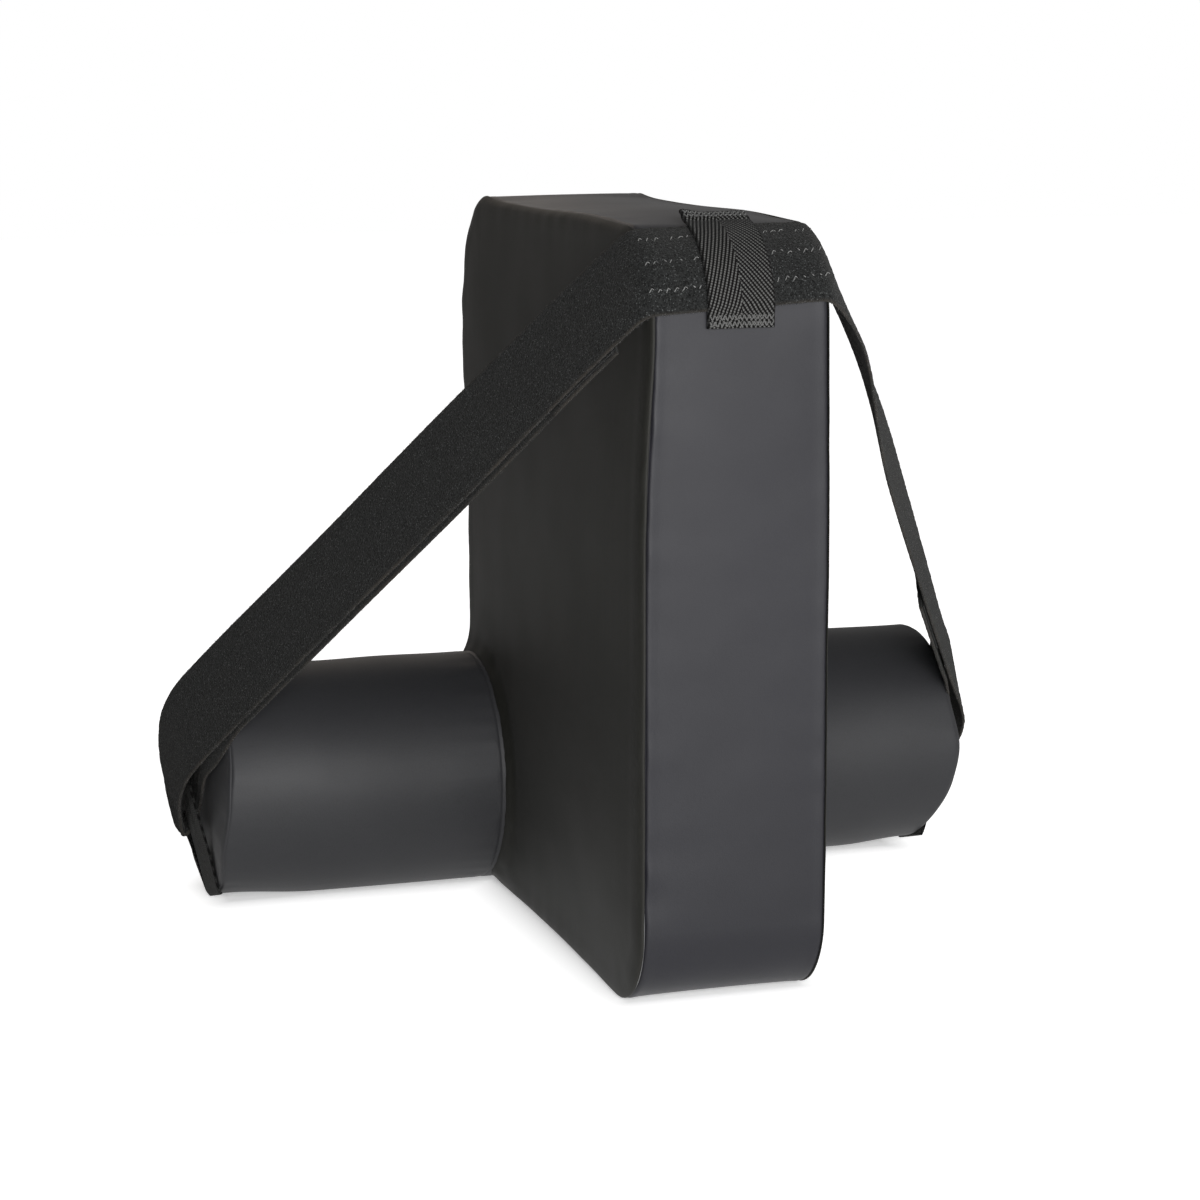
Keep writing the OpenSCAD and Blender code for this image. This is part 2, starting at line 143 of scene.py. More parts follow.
def new_mesh(name, points, faces, uvs=None, material=None, body="shield", level=0):
    """Object from points in millimetres. uvs are millimetre coordinates, one per point."""
    mesh = bpy.data.meshes.new(name)
    points = np.asarray(points, float).reshape(-1, 3)
    mesh.from_pydata([tuple(p) for p in points * MM], [], [tuple(f) for f in faces])
    if uvs is not None:
        uvs = np.asarray(uvs, float).reshape(-1, 2)
        layer = mesh.uv_layers.new(name="mm")
        index = np.zeros(len(mesh.loops), int)
        mesh.loops.foreach_get("vertex_index", index)
        layer.data.foreach_set("uv", uvs[index].astype(np.float32).ravel())
    mesh.validate()
    obj = bpy.data.objects.new(name, mesh)
    bpy.context.scene.collection.objects.link(obj)
    clean(obj)
    for polygon in mesh.polygons:
        polygon.use_smooth = True
    if material:
        mesh.materials.append(material)
    if level:
        subdivision = obj.modifiers.new("Subdivision", "SUBSURF")
        subdivision.levels = subdivision.render_levels = level
    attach(obj, body)
    return obj


def clean(obj, gap=0.002):
    """Welds points closer than gap millimetres, drops loose points and faces outwards."""
    work = bmesh.new()
    work.from_mesh(obj.data)
    bmesh.ops.remove_doubles(work, verts=work.verts, dist=gap * MM)
    bmesh.ops.dissolve_degenerate(work, dist=gap * MM / 2, edges=work.edges)
    loose = [v for v in work.verts if not v.link_faces]
    bmesh.ops.delete(work, geom=loose, context="VERTS")
    bmesh.ops.recalc_face_normals(work, faces=work.faces)
    work.to_mesh(obj.data)
    work.free()


def grid_faces(rows, cols, start=0, wrap_rows=False, wrap_cols=False):
    faces = []
    for i in range(rows if wrap_rows else rows - 1):
        for j in range(cols if wrap_cols else cols - 1):
            k, m = (i + 1) % rows, (j + 1) % cols
            faces.append((start + i * cols + j, start + i * cols + m,
                          start + k * cols + m, start + k * cols + j))
    return faces


def row_normals(rows):
    """Unit normals of a grid of points."""
    along = np.gradient(rows, axis=0)
    across = np.gradient(rows, axis=1)
    normal = np.cross(along, across)
    return normal / np.maximum(np.linalg.norm(normal, axis=2, keepdims=True), 1e-9)


# ---------- Procedural materials ----------

class Graph:
    """Short calls for building one material's nodes."""

    def __init__(self, name):
        self.material = bpy.data.materials.new(name)
        self.material.use_nodes = True
        self.tree = self.material.node_tree
        self.tree.nodes.clear()
        self.surface = self.add("BsdfPrincipled")
        out = self.add("OutputMaterial")
        self.tree.links.new(self.surface.outputs[0], out.inputs["Surface"])
        self.place = self.add("TexCoord").outputs["Object"]

    def add(self, kind, inputs=None, **settings):
        node = self.tree.nodes.new("ShaderNode" + kind)
        for key, value in settings.items():
            setattr(node, key, value)
        for key, value in (inputs or {}).items():
            self.put(node.inputs[key], value)
        return node

    def put(self, socket, value):
        if isinstance(value, bpy.types.NodeSocket):
            self.tree.links.new(value, socket)
        else:
            socket.default_value = value

    def math(self, operation, a, b=0.0, c=0.0):
        return self.add("Math", {0: a, 1: b, 2: c}, operation=operation).outputs[0]

    def noise(self, scale, detail=3.0, roughness=0.5, place=None):
        return self.add("TexNoise", {"Vector": place or self.place, "Scale": scale,
                                     "Detail": detail, "Roughness": roughness}).outputs["Fac"]

    def cells(self, scale, place=None, feature="F1", randomness=1.0):
        return self.add("TexVoronoi", {"Vector": place or self.place, "Scale": scale,
                                       "Randomness": randomness},
                        feature=feature).outputs["Distance"]

    def remap(self, value, low, high, to_low=0.0, to_high=1.0):
        return self.add("MapRange", {"Value": value, "From Min": low, "From Max": high,
                                     "To Min": to_low, "To Max": to_high}).outputs[0]

    def mix(self, factor, a, b):
        node = self.add("Mix", data_type="RGBA")
        self.put(node.inputs["Factor"], factor)
        self.put(node.inputs[6], a)
        self.put(node.inputs[7], b)
        return node.outputs[2]

    def bump(self, height, distance, strength=1.0, normal=None):
        node = self.add("Bump", {"Height": height, "Distance": distance * MM,
                                 "Strength": strength})
        if normal is not None:
            self.put(node.inputs["Normal"], normal)
        return node.outputs[0]

    def surface_uv(self):
        """Millimetres across and along a ribbon."""
        uv = self.add("UVMap", uv_map="mm").outputs[0]
        split = self.add("SeparateXYZ", {0: uv})
        return split.outputs[0], split.outputs[1]

    def finish(self, **inputs):
        names = {"color": "Base Color", "rough": "Roughness", "normal": "Normal",
                 "sheen": "Sheen Weight", "sheen_rough": "Sheen Roughness",
                 "sheen_tint": "Sheen Tint", "coat": "Coat Weight",
                 "coat_rough": "Coat Roughness", "specular": "Specular IOR Level",
                 "metal": "Metallic"}
        for key, value in inputs.items():
            self.put(self.surface.inputs[names[key]], value)
        return self.material


def rgb(r, g, b):
    return (r, g, b, 1.0)


def vinyl(name, dark, light, rough, seed=0.0):
    """Satin vinyl with a very fine grain and only slight broad unevenness."""
    g = Graph(name)
    place = g.add("VectorMath", {0: g.place, 1: (seed, seed * 2, -seed)}).outputs[0]
    pebble = g.cells(1250.0, place, feature="SMOOTH_F1")
    crease = g.cells(520.0, place, feature="DISTANCE_TO_EDGE")
    fine = g.noise(2600.0, 2.0, 0.6, place)
    broad = g.noise(9.0, 3.0, 0.5, place)
    cloud = g.noise(26.0, 3.0, 0.5, place)
    crease_line = g.remap(crease, 0.0, 0.09)
    tone = g.math("MULTIPLY_ADD", cloud, 0.35, g.math("MULTIPLY", broad, 0.65))
    color = g.mix(g.remap(tone, 0.25, 0.75), dark, light)
    # Darker along the grain's creases: painted shade in the creases.
    color = g.mix(g.math("MULTIPLY", g.math("SUBTRACT", 1.0, crease_line), 0.22), color,
                  tuple(c * 0.55 for c in dark[:3]) + (1.0,))
    roughness = g.math("ADD", g.remap(tone, 0.3, 0.7, rough + 0.03, rough - 0.03),
                       g.math("MULTIPLY", fine, 0.06))
    height = g.math("ADD", g.math("MULTIPLY", pebble, -0.6),
                    g.math("ADD", g.math("MULTIPLY", crease_line, 0.4),
                           g.math("MULTIPLY", fine, 0.25)))
    normal = g.bump(broad, 1.0, 0.25)
    normal = g.bump(height, 0.07, 0.45, normal)
    return g.finish(color=color, rough=roughness, normal=normal, specular=0.40,
                    sheen=0.03, sheen_rough=0.4)


def loop_pile(name, dark, speck, edge):
    """Matte black loop pile: dense small loops, pale specks where a loop catches the light."""
    g = Graph(name)
    across, along = g.surface_uv()
    loops = g.cells(1000.0)
    tufts = g.noise(900.0, 3.0, 0.75)
    glints = g.cells(720.0, g.add("VectorMath", {0: g.place, 1: (0.31, 0.17, 0.05)}).outputs[0])
    broad = g.noise(34.0, 3.0, 0.6)
    near_edge = g.remap(g.math("ABSOLUTE", across), 26.4, 28.4)
    color = g.mix(g.remap(loops, 0.15, 0.55), dark, speck)
    # Darker where the tufts dip: painted shade in the pile's hollows.
    color = g.mix(g.remap(tufts, 0.52, 0.38, 0.0, 0.8), color,
                  tuple(c * 0.3 for c in dark[:3]) + (1.0,))
    glint = g.math("MULTIPLY", g.remap(glints, 0.30, 0.12), g.remap(tufts, 0.44, 0.54))
    color = g.mix(g.math("MULTIPLY", glint, 0.85), color,
                  tuple(min(1.0, c * 5.0) for c in speck[:3]) + (1.0,))
    # Lighter and browner in patches near both edges.
    browner_edge = g.math("MULTIPLY", near_edge, g.remap(broad, 0.38, 0.62, 0.15, 0.6))
    color = g.mix(browner_edge, color, edge)
    height = g.math("ADD", g.math("MULTIPLY", loops, -0.8), g.math("MULTIPLY", tufts, 1.0))
    normal = g.bump(height, 0.55, 1.0)
    return g.finish(color=color, rough=0.97, normal=normal, specular=0.06,
                    sheen=0.10, sheen_rough=0.6, sheen_tint=rgb(0.7, 0.69, 0.67))


def herringbone(name, ground, rib, pitch=2.0, bead=1.45, steep=(72.0, 54.0), half=19.0):
    """Webbing of pale beads strung on slanted ribs that meet at its middle line as chevrons."""
    g = Graph(name)
    across, along = g.surface_uv()
    off = g.math("ABSOLUTE", across)
    left, right = (math.radians(angle) for angle in steep)
    to_right = g.remap(across, -0.01, 0.01)
    rise = g.remap(to_right, 0.0, 1.0, math.sin(left), math.sin(right))
    run = g.remap(to_right, 0.0, 1.0, math.cos(left), math.cos(right))
    drift = g.math("MULTIPLY_ADD", g.noise(70.0, 2.0, 0.5), 1.2, along)
    rows = g.math("ADD", g.math("MULTIPLY", off, rise), g.math("MULTIPLY", drift, run))
    string = g.math("SUBTRACT", g.math("MULTIPLY", drift, rise), g.math("MULTIPLY", off, run))
    ribs = g.math("SINE", g.math("MULTIPLY", g.math("FRACT", g.math("DIVIDE", rows, pitch)),
                                 math.pi))
    beads = g.math("SINE", g.math("MULTIPLY", g.math("FRACT", g.math("DIVIDE", string, bead)),
                                  math.pi))
    weave = g.math("MULTIPLY", ribs, g.remap(beads, 0.0, 0.75, 0.52, 1.0))
    uneven = g.noise(1400.0, 3.0, 0.6)
    lit = g.remap(g.math("MULTIPLY_ADD", uneven, 0.35, weave), 0.70, 1.15)
    selvage = g.remap(off, half - 1.5, half - 0.9)
    lit = g.math("MULTIPLY", lit, g.math("SUBTRACT", 1.0, g.math("MULTIPLY", selvage, 0.75)))
    color = g.mix(lit, ground, rib)
    height = g.math("ADD", weave, g.math("MULTIPLY", uneven, 0.35))
    normal = g.bump(height, 0.5, 0.9)
    return g.finish(color=color, rough=0.85, normal=normal, specular=0.1,
                    sheen=0.03, sheen_rough=0.5)


def yarn(name, dark, light):
    """Twisted sewing thread."""
    g = Graph(name)
    twist = g.add("TexWave", {"Vector": g.place, "Scale": 900.0, "Distortion": 1.5},
                  bands_direction="DIAGONAL").outputs["Fac"]
    fuzz = g.noise(2200.0, 3.0, 0.7)
    color = g.mix(g.math("MULTIPLY", twist, fuzz), dark, light)
    normal = g.bump(g.math("ADD", twist, fuzz), 0.12, 0.8)
    return g.finish(color=color, rough=0.75, normal=normal, sheen=0.3)


def plain_weave(name, dark, light, pitch=0.7):
    """Tape woven one over one."""
    g = Graph(name)
    across, along = g.surface_uv()
    warp = g.math("SINE", g.math("MULTIPLY", across, 2 * math.pi / pitch))
    weft = g.math("SINE", g.math("MULTIPLY", along, 2 * math.pi / pitch))
    over = g.math("MULTIPLY", warp, weft)
    uneven = g.noise(1500.0, 3.0, 0.6)
    color = g.mix(g.remap(g.math("MULTIPLY_ADD", uneven, 0.8, over), -0.4, 1.2), dark, light)
    normal = g.bump(g.math("ADD", over, uneven), 0.15, 0.7)
    return g.finish(color=color, rough=0.85, normal=normal, sheen=0.15)


def hook_tape(name):
    """Close rows of small stiff hooks."""
    g = Graph(name)
    hooks = g.cells(1000.0, randomness=0.35)
    color = g.mix(g.remap(hooks, 0.1, 0.5), rgb(0.05, 0.05, 0.05), rgb(0.008, 0.008, 0.008))
    normal = g.bump(g.math("MULTIPLY", hooks, -1.0), 0.6, 1.0)
    return g.finish(color=color, rough=0.5, normal=normal)


def nylon(name, color):
    """Satin moulded nylon with faint flow marks."""
    g = Graph(name)
    flow = g.noise(700.0, 3.0, 0.6)
    shade = g.mix(flow, tuple(c * 0.6 for c in color[:3]) + (1.0,), color)
    return g.finish(color=shade, rough=g.remap(flow, 0.3, 0.7, 0.36, 0.52),
                    normal=g.bump(flow, 0.05, 0.5))


def lacquer(name, color):
    """Dark lacquered metal, worn a little bright on its edges."""
    g = Graph(name)
    geometry = g.add("NewGeometry")
    wear = g.math("MULTIPLY", g.remap(geometry.outputs["Pointiness"], 0.52, 0.62),
                  g.remap(g.noise(900.0, 4.0, 0.7), 0.45, 0.6))
    shade = g.mix(wear, color, rgb(0.28, 0.26, 0.22))
    scuff = g.noise(420.0, 4.0, 0.6)
    return g.finish(color=shade, rough=g.remap(scuff, 0.3, 0.7, 0.22, 0.42),
                    metal=g.remap(wear, 0.0, 1.0, 0.35, 1.0), normal=g.bump(scuff, 0.03, 0.4))


def foam(name):
    """Open-cell foam."""
    g = Graph(name)
    pores = g.cells(900.0)
    color = g.mix(g.remap(pores, 0.1, 0.6), rgb(0.5, 0.47, 0.38), rgb(0.75, 0.72, 0.62))
    return g.finish(color=color, rough=0.95, normal=g.bump(pores, 0.3, 0.8))


# One vinyl in three copies that differ in brightness only as painted light and shade: the side panels'
# copy is darkest, painted shade; the roll's copy is lightest, painted light.
SIDE_VINYL_SHADED = vinyl("side_vinyl", rgb(0.0080, 0.0079, 0.0056), rgb(0.0102, 0.0101, 0.0074), 0.62, 0.3)
GUSSET_VINYL = vinyl("gusset_vinyl", rgb(0.0112, 0.0112, 0.0150), rgb(0.0142, 0.0142, 0.0188),
                     0.48, 1.1)
ROLL_VINYL_LIT = vinyl("roll_vinyl", rgb(0.0225, 0.0228, 0.0252), rgb(0.0275, 0.0279, 0.0306),
                   0.54, 2.3)
LOOP_STRAP = loop_pile("loop_strap", rgb(0.0025, 0.0028, 0.0028), rgb(0.021, 0.022, 0.022),
                       rgb(0.045, 0.038, 0.031))
LOOSE_LOOPS = yarn("loose_loops", rgb(0.015, 0.015, 0.015), rgb(0.085, 0.080, 0.074))
WEBBING = herringbone("webbing", rgb(0.002, 0.002, 0.002), rgb(0.115, 0.115, 0.111))
GREY_THREAD = yarn("grey_thread", rgb(0.10, 0.10, 0.10), rgb(0.52, 0.52, 0.50))
HEM_THREAD = yarn("hem_thread", rgb(0.04, 0.04, 0.04), rgb(0.26, 0.26, 0.25))
DARK_THREAD = yarn("dark_thread", rgb(0.02, 0.02, 0.02), rgb(0.09, 0.09, 0.09))
ZIP_TAPE = plain_weave("zip_tape", rgb(0.010, 0.010, 0.010), rgb(0.045, 0.045, 0.045))
HOOK_TAPE = hook_tape("hook_tape")
ZIP_COIL = nylon("zip_coil", rgb(0.03, 0.03, 0.032))
ZIP_METAL = lacquer("zip_metal", rgb(0.03, 0.03, 0.031))
FOAM = foam("foam")


# ---------- Strap path, for the right side; the left is its mirror image ----------

BOW = STRAP_R * (1 - math.cos(math.radians((STRAP_HIGH - STRAP_LOW) / 2)))
RUN_ACROSS = unit([0.06, 0.66, 0.75])
RIM_ACROSS = unit([0.12, 0.68, 0.72])
RETURN_GAP, RETURN_DROP = 3.6, 1.8
GATHER_W = 17.0
PEEL_LEN = 50.0
HOOK_OFF, HOOK_T = 1.8, 0.7

SIDES = {
    "left": {"side": -1, "end": LEFT_END, "slack": 2.0, "stop": 0.7, "twist": (0, 0, 0),
             "tuck": 0.0,
             "bulge": (19.5, 25, 25, 22.5, 19.5, 13)},
    "right": {"side": 1, "end": RIGHT_END, "slack": 5.5, "stop": 3.2,
              "twist": (-0.10, 0.09, 0.10), "tuck": 2.6,
              "bulge": (23, 27.5, 22.5, 20, 17, 12)},
}


def corner_point(angle, radius, x):
    a = math.radians(angle)
    return np.array([x, FRONT_Y + CORNER_R - radius * math.cos(a),
                     CORE_HIGH + radius * math.sin(a)])


def rim_point(end):
    return np.array([end + 4.2, ROLL_Y - 44, 2 * ROLL_R - 5])


def run_point(s, t):
    low = corner_point(STRAP_LOW + s["side"] * STRAP_SLANT / 2, STRAP_R, STRAP_X)
    high = corner_point(STRAP_HIGH + s["side"] * STRAP_SLANT / 2, STRAP_R, STRAP_X)
    start = (low + high) / 2
    return start + (rim_point(s["end"]) - start) * t + s["slack"] * (1 - t) * np.array([1, 0, 0])


def flat(centre, across, width):
    return (np.asarray(centre, float), unit(across), width, 0.0, np.array([0, 0, 1.0]))


def end_point(s, out, back, up):
    return np.array([s["end"] + out, ROLL_Y + back, up])


def outer_stations(s):
    side, slack, bulge = s["side"], s["slack"], s["bulge"]
    low = corner_point(STRAP_LOW + side * STRAP_SLANT / 2, STRAP_R, STRAP_X)
    high = corner_point(STRAP_HIGH + side * STRAP_SLANT / 2, STRAP_R, STRAP_X)
    mid = math.radians((STRAP_LOW + STRAP_HIGH + side * STRAP_SLANT) / 2)
    out = np.array([0, -math.cos(mid), math.sin(mid)])
    twists = [np.array([t, 0, 0]) for t in s["twist"]]
    return [
        ((low + high) / 2, unit(high - low), np.linalg.norm(high - low), BOW, out),
        (run_point(s, 0.12) + np.array([-s["tuck"], -0.5 * slack, 0.2 * slack]),
         unit(unit([0.03 - 0.03 * slack, 0.65, 0.76]) + twists[0]), STRAP_W, 0.0, out),
        flat(run_point(s, 0.4), RUN_ACROSS + twists[1], STRAP_W),
        flat(run_point(s, 0.7), RUN_ACROSS + twists[2], STRAP_W),
        flat(rim_point(s["end"]), RIM_ACROSS, STRAP_W),
        flat(end_point(s, bulge[0], -19, 110), [0.22, 0.83, 0.5], STRAP_W),
        flat(end_point(s, bulge[1], -5, 88), [0.12, 0.95, 0.25], 0.98 * STRAP_W),
        flat(end_point(s, bulge[2], -1.5, 67), [0, 1, 0.05], 0.8 * STRAP_W),
        flat(end_point(s, bulge[3], 0, 52), [0, 1, 0], GATHER_W + 10),
    ]


def fold_stations(s):
    return [
        flat(end_point(s, s["bulge"][4], 0, 42.5), [0, 1, 0], GATHER_W + 3),
        flat(end_point(s, s["bulge"][5], 0, 52), [0, 1, 0], GATHER_W + 6),
        flat(end_point(s, 11.5, -2, 67), [0, 1, 0.05], 0.65 * STRAP_W),
        flat(end_point(s, 12, -9, 89), [0.05, 0.97, 0.22], 0.92 * STRAP_W),
        flat(end_point(s, 10, -24, 108), [0.12, 0.85, 0.5], STRAP_W),
    ]


def station_at(stations, u):
    """Centre, width direction and normal of a ribbon at place u along its stations."""
    centres = [st[0] for st in stations]
    last = len(stations) - 1
    ahead = spline_at(centres, min(u + 0.05, last))
    behind = spline_at(centres, max(u - 0.05, 0))
    across = unit(spline_at([st[1] for st in stations], u))
    return spline_at(centres, u), across, unit(np.cross(unit(ahead - behind), across))


def return_station(s, u):
    centre, across, normal = station_at(outer_stations(s), u)
    return flat(centre - RETURN_GAP * normal - RETURN_DROP * across, across, STRAP_W)


def peel_start(s):
    """Place PEEL_LEN further down the outer ribbon than the returned ribbon's free end."""
    centres = [st[0] for st in outer_stations(s)]
    u, left = s["stop"], PEEL_LEN
    while True:
        step = np.linalg.norm(centres[int(u) + 1] - centres[int(u)])
        if left <= (int(u) + 1 - u) * step:
            return u + left / step
        left -= (int(u) + 1 - u) * step
        u = int(u) + 1.0


def leg_stations(s):
    start = peel_start(s)
    steps = max(1, round((4 - start) / 0.3))
    first = 1 if 4 - start < 0.3 else 0
    back = [return_station(s, 4 - (4 - start) * k / steps) for k in range(first, steps + 1)]
    return outer_stations(s) + fold_stations(s) + back


def peel_stations(s):
    start = peel_start(s) - 0.009
    return [return_station(s, start + (s["stop"] - start) * k / 3) for k in range(4)]


# ---------- Cloth simulation of the blown-up covers ----------

def roll_distance(y, z):
    """Distance outside the roll's round surface, negative inside it."""
    return np.hypot(y - ROLL_Y, z - ROLL_R) - ROLL_R


def outline_depth(y, z):
    """Distance inside the slab's rounded side outline, negative outside it."""
    dy = np.abs(y) - CORE_Y
    dz = np.abs(z - SLAB_H / 2) - (SLAB_H / 2 - CORNER_R)
    corner = np.hypot(np.maximum(dy, 0), np.maximum(dz, 0))
    return CORNER_R - np.where((dy > 0) | (dz > 0), corner, np.maximum(dy, dz))


def prism(profile, low, high):
    """Closed solid from a ring of (y, z) places, between two sideways places."""
    n = len(profile)
    points = [(x, y, z) for x in (low, high) for y, z in profile]
    faces = [tuple(range(n)), tuple(range(2 * n - 1, n - 1, -1))]
    faces += [(i, n + i, n + (i + 1) % n, (i + 1) % n) for i in range(n)]
    return points, faces


def blown_covers():
    """Rest points of the covers and how far each moves when the foam fills them."""
    ring = [(CORE_Y * sy + CORNER_R * math.cos(a), SLAB_H / 2 + sz * (SLAB_H / 2 - CORNER_R)
             + CORNER_R * math.sin(a))
            for sy, sz, first in ((1, 1, 0), (-1, 1, 90), (-1, -1, 180), (1, -1, 270))
            for a in np.radians(np.linspace(first, first + 90, 12))]
    roll = [(ROLL_Y + ROLL_R * math.cos(a), ROLL_R + ROLL_R * math.sin(a))
            for a in np.linspace(0, 2 * math.pi, 72, endpoint=False)]
    points, faces = prism(ring, -HALF_W, HALF_W)
    more, more_faces = prism(roll, -LEFT_END, RIGHT_END)
    faces += [tuple(len(points) + k for k in f) for f in more_faces]
    pad = new_mesh("pad", points + more, faces)
    pad.modifiers.new("Remesh", "REMESH").mode = "VOXEL"
    pad.modifiers["Remesh"].voxel_size = 6 * MM
    bpy.context.view_layer.update()
    graph = bpy.context.evaluated_depsgraph_get()
    mesh = bpy.data.meshes.new_from_object(pad.evaluated_get(graph))
    pad.modifiers.clear()
    pad.data = mesh
    rest = np.array([v.co for v in mesh.vertices]) / MM

    x, y, z = rest.T
    depth, off = outline_depth(y, z), roll_distance(y, z)
    seam = (np.abs(np.abs(x) - HALF_W) < 4.5) & (np.abs(depth) < 4.5)
    rim = (np.minimum(np.abs(x + LEFT_END), np.abs(x - RIGHT_END)) < 5) & (np.abs(off) < 5)
    join = (np.abs(np.abs(x) - HALF_W) < 5) & (np.abs(off) < 5)
    held = pad.vertex_groups.new(name="held")
    held.add([int(i) for i in np.nonzero(seam | rim | join)[0]], 1.0, "REPLACE")
    cloth = pad.modifiers.new("Cloth", "CLOTH")
    cloth.settings.vertex_group_mass = "held"
    cloth.settings.use_pressure = True
    cloth.settings.uniform_pressure_force = 4.0
    cloth.settings.quality = 5
    cloth.settings.tension_stiffness = cloth.settings.compression_stiffness = 40
    cloth.settings.bending_stiffness = 2.0
    cloth.settings.effector_weights.gravity = 0
    cloth.collision_settings.use_collision = False
    cloth.collision_settings.use_self_collision = False
    cloth.point_cache.frame_start, cloth.point_cache.frame_end = 1, 20
    for step in range(1, 21):
        bpy.context.scene.frame_set(step)
    graph = bpy.context.evaluated_depsgraph_get()
    final = pad.evaluated_get(graph).data
    moved = np.array([v.co for v in final.vertices]) / MM - rest
    bpy.context.scene.frame_set(1)
    bpy.data.objects.remove(pad)
    return rest, moved


SWELL = 4.5
rest_points, swell = blown_covers()
size = np.linalg.norm(swell, axis=1)
print("cover swell in mm, middle and largest:", np.percentile(size, [50, 90, 99, 100]))
scale = SWELL / max(np.percentile(size, 97), 1e-6)
swell = swell * scale
size = np.linalg.norm(swell, axis=1, keepdims=True)
swell *= np.minimum(1, 1.25 * SWELL / np.maximum(size, 1e-6))

swell_tree = kdtree.KDTree(len(rest_points))
for number, place in enumerate(rest_points):
    swell_tree.insert(place, number)
swell_tree.balance()


def swelled(points):
    """Moves points with the blown-up covers near them."""
    points = np.asarray(points, float)
    out = points.copy().reshape(-1, 3)
    for k, p in enumerate(out):
        near = swell_tree.find_n(p, 6)
        weights = np.array([1 / (d + 2.0) ** 2 for _, _, d in near])
        moves = np.array([swell[i] for _, i, _ in near])
        out[k] = p + (weights[:, None] * moves).sum(0) / weights.sum()
    return out.reshape(points.shape)


# ---------- Slab covers ----------

FLARE, FLARE_LEN = 6.5, 8.5
SEAM_DEPTH = 1.3
STRIP_HALF = 46.8
SEAM_IN = {-1: HALF_W - STRIP_HALF, 1: 1.6}
ZIP_X = 9.0
zip_low, zip_high = box_mm("zip_coil")
SLOT_LOW, SLOT_HIGH = zip_low[2] - 4, zip_high[2] + 5

PANEL_EDGE = [(1.4, 1.0), (0.7, 0.985), (0.1, 0.93), (-0.2, 0.83), (-0.1, 0.70), (0.45, 0.54),
              (1.4, 0.38), (2.7, 0.23), (4.4, 0.11), (6.6, 0.02), (9.2, -0.04), (12, -0.03),
              (15, 0), (18.5, 0), (22, 0), (26, 0), (30, 0), (34, 0), (38, 0), (42, 0), (46, 0)]
half_cols = [0, 2.2, 4.5, 6.8, 8.2, ZIP_X, 9.8, 11.5, 14, 17.5, 21, 24.5, 28, 31.5, 34.5,
             37, 39.5, 41.5, 43.2, 44.4, 45.3, 45.9, 46.2, 46.45, 46.65, STRIP_HALF]
STRIP_COLS = np.array([-c for c in half_cols[:0:-1]] + half_cols)

ys = np.concatenate([np.linspace(-CORE_Y, HEEL_Y, 101), np.linspace(HEEL_Y, CORE_Y, 9)[1:]])
zs = np.linspace(CORE_LOW, CORE_HIGH, 141)


def outline_rows():
    """Places round the side outline: core point and outward way, from the base up the front."""
    rows = []
    for z in zs[:-1]:
        rows.append((-CORE_Y, z, -1.0, 0.0))
    for a in np.radians(np.linspace(0, 90, 28))[:-1]:
        rows.append((-CORE_Y, CORE_HIGH, -math.cos(a), math.sin(a)))
    for y in ys[:-1]:
        rows.append((y, CORE_HIGH, 0.0, 1.0))
    for a in np.radians(np.linspace(0, 90, 28))[:-1]:
        rows.append((CORE_Y, CORE_HIGH, math.sin(a), math.cos(a)))
    for z in zs[:0:-1]:
        rows.append((CORE_Y, z, 1.0, 0.0))
    for a in np.radians(np.linspace(0, 90, 28))[:-1]:
        rows.append((CORE_Y, CORE_LOW, math.cos(a), -math.sin(a)))
    for y in ys[:0:-1]:
        rows.append((y, CORE_LOW, 0.0, -1.0))
    for a in np.radians(np.linspace(0, 90, 28))[:-1]:
        rows.append((-CORE_Y, CORE_LOW, -math.sin(a), -math.cos(a)))
    return np.array(rows)


ROWS = outline_rows()
edge_places = ROWS[:, :2] + ROWS[:, 2:] * CORNER_R
ROW_S = np.concatenate([[0], np.cumsum(np.linalg.norm(np.diff(edge_places, axis=0), axis=1))])


def puckers(s, distance, x_sign):
    """Small gathers that run in from a seam, by place along it and distance from it."""
    base = 0.16 * np.sin(s * 2 * math.pi / 3.6) * np.exp(-distance / 1.6)
    slow = np.stack(np.broadcast_arrays(s, 40.0 * x_sign, 0.0), -1)
    return base + 0.45 * waves(slow, 19, 5) * np.exp(-distance / 9.0)


def settle(points, outward):
    """Blown-up shape with the slow unevenness of foam under a cover."""
    moved = swelled(points)
    uneven = 0.45 * waves(points, 120, 3) + 0.16 * waves(points, 42, 4)
    moved = moved + outward * uneven[..., None]
    _, y, z = np.moveaxis(points, -1, 0)
    crown = 2.0 * np.exp(-((y + 60) / 65) ** 2) + 2.6 * np.exp(-((y - 150) / 28) ** 2)
    moved[..., 2] += crown * smooth(z, SLAB_H - 60, SLAB_H)
    moved[..., 0] += fullness(points)
    return moved


def fullness(points):
    """Sideways swell of the slab: along its front edge below the strap, and high at the back."""
    x, y, z = np.moveaxis(points, -1, 0)
    front = smooth(z, 395, 250) * np.exp(-((y - FRONT_Y) / 110) ** 2)
    back = smooth(y, 60, 160) * np.exp(-((z - 335) / 62) ** 2)
    swell_by = np.where(x < 0, 5.0, 2.6) * front + 4.0 * back
    return np.sign(x) * swell_by * smooth(np.abs(x), 15, 46)


def flare(y, z):
    off = roll_distance(y, z)
    return FLARE * np.exp(-np.maximum(off, 0) / FLARE_LEN)


def flare_folds(y, z):
    """Faint folds that fan out from the panel's seam on the roll."""
    off = np.maximum(roll_distance(y, z), 0)
    angle = np.degrees(np.arctan2(z - ROLL_R, y - ROLL_Y))
    ring = np.stack([angle * 1.24, off * 0.25, off * 0], -1)
    return 0.7 * waves(ring, 15, 8) * np.exp(-off / 12.0) * smooth(off, -1, 4)


def keep_face(center):
    """Whether a cover's face is outside the roll and above the cut heel."""
    x, y, z = center
    if roll_distance(y, z) < -5:
        return False
    return not (y > HEEL_Y + 0.5 and z < 24)


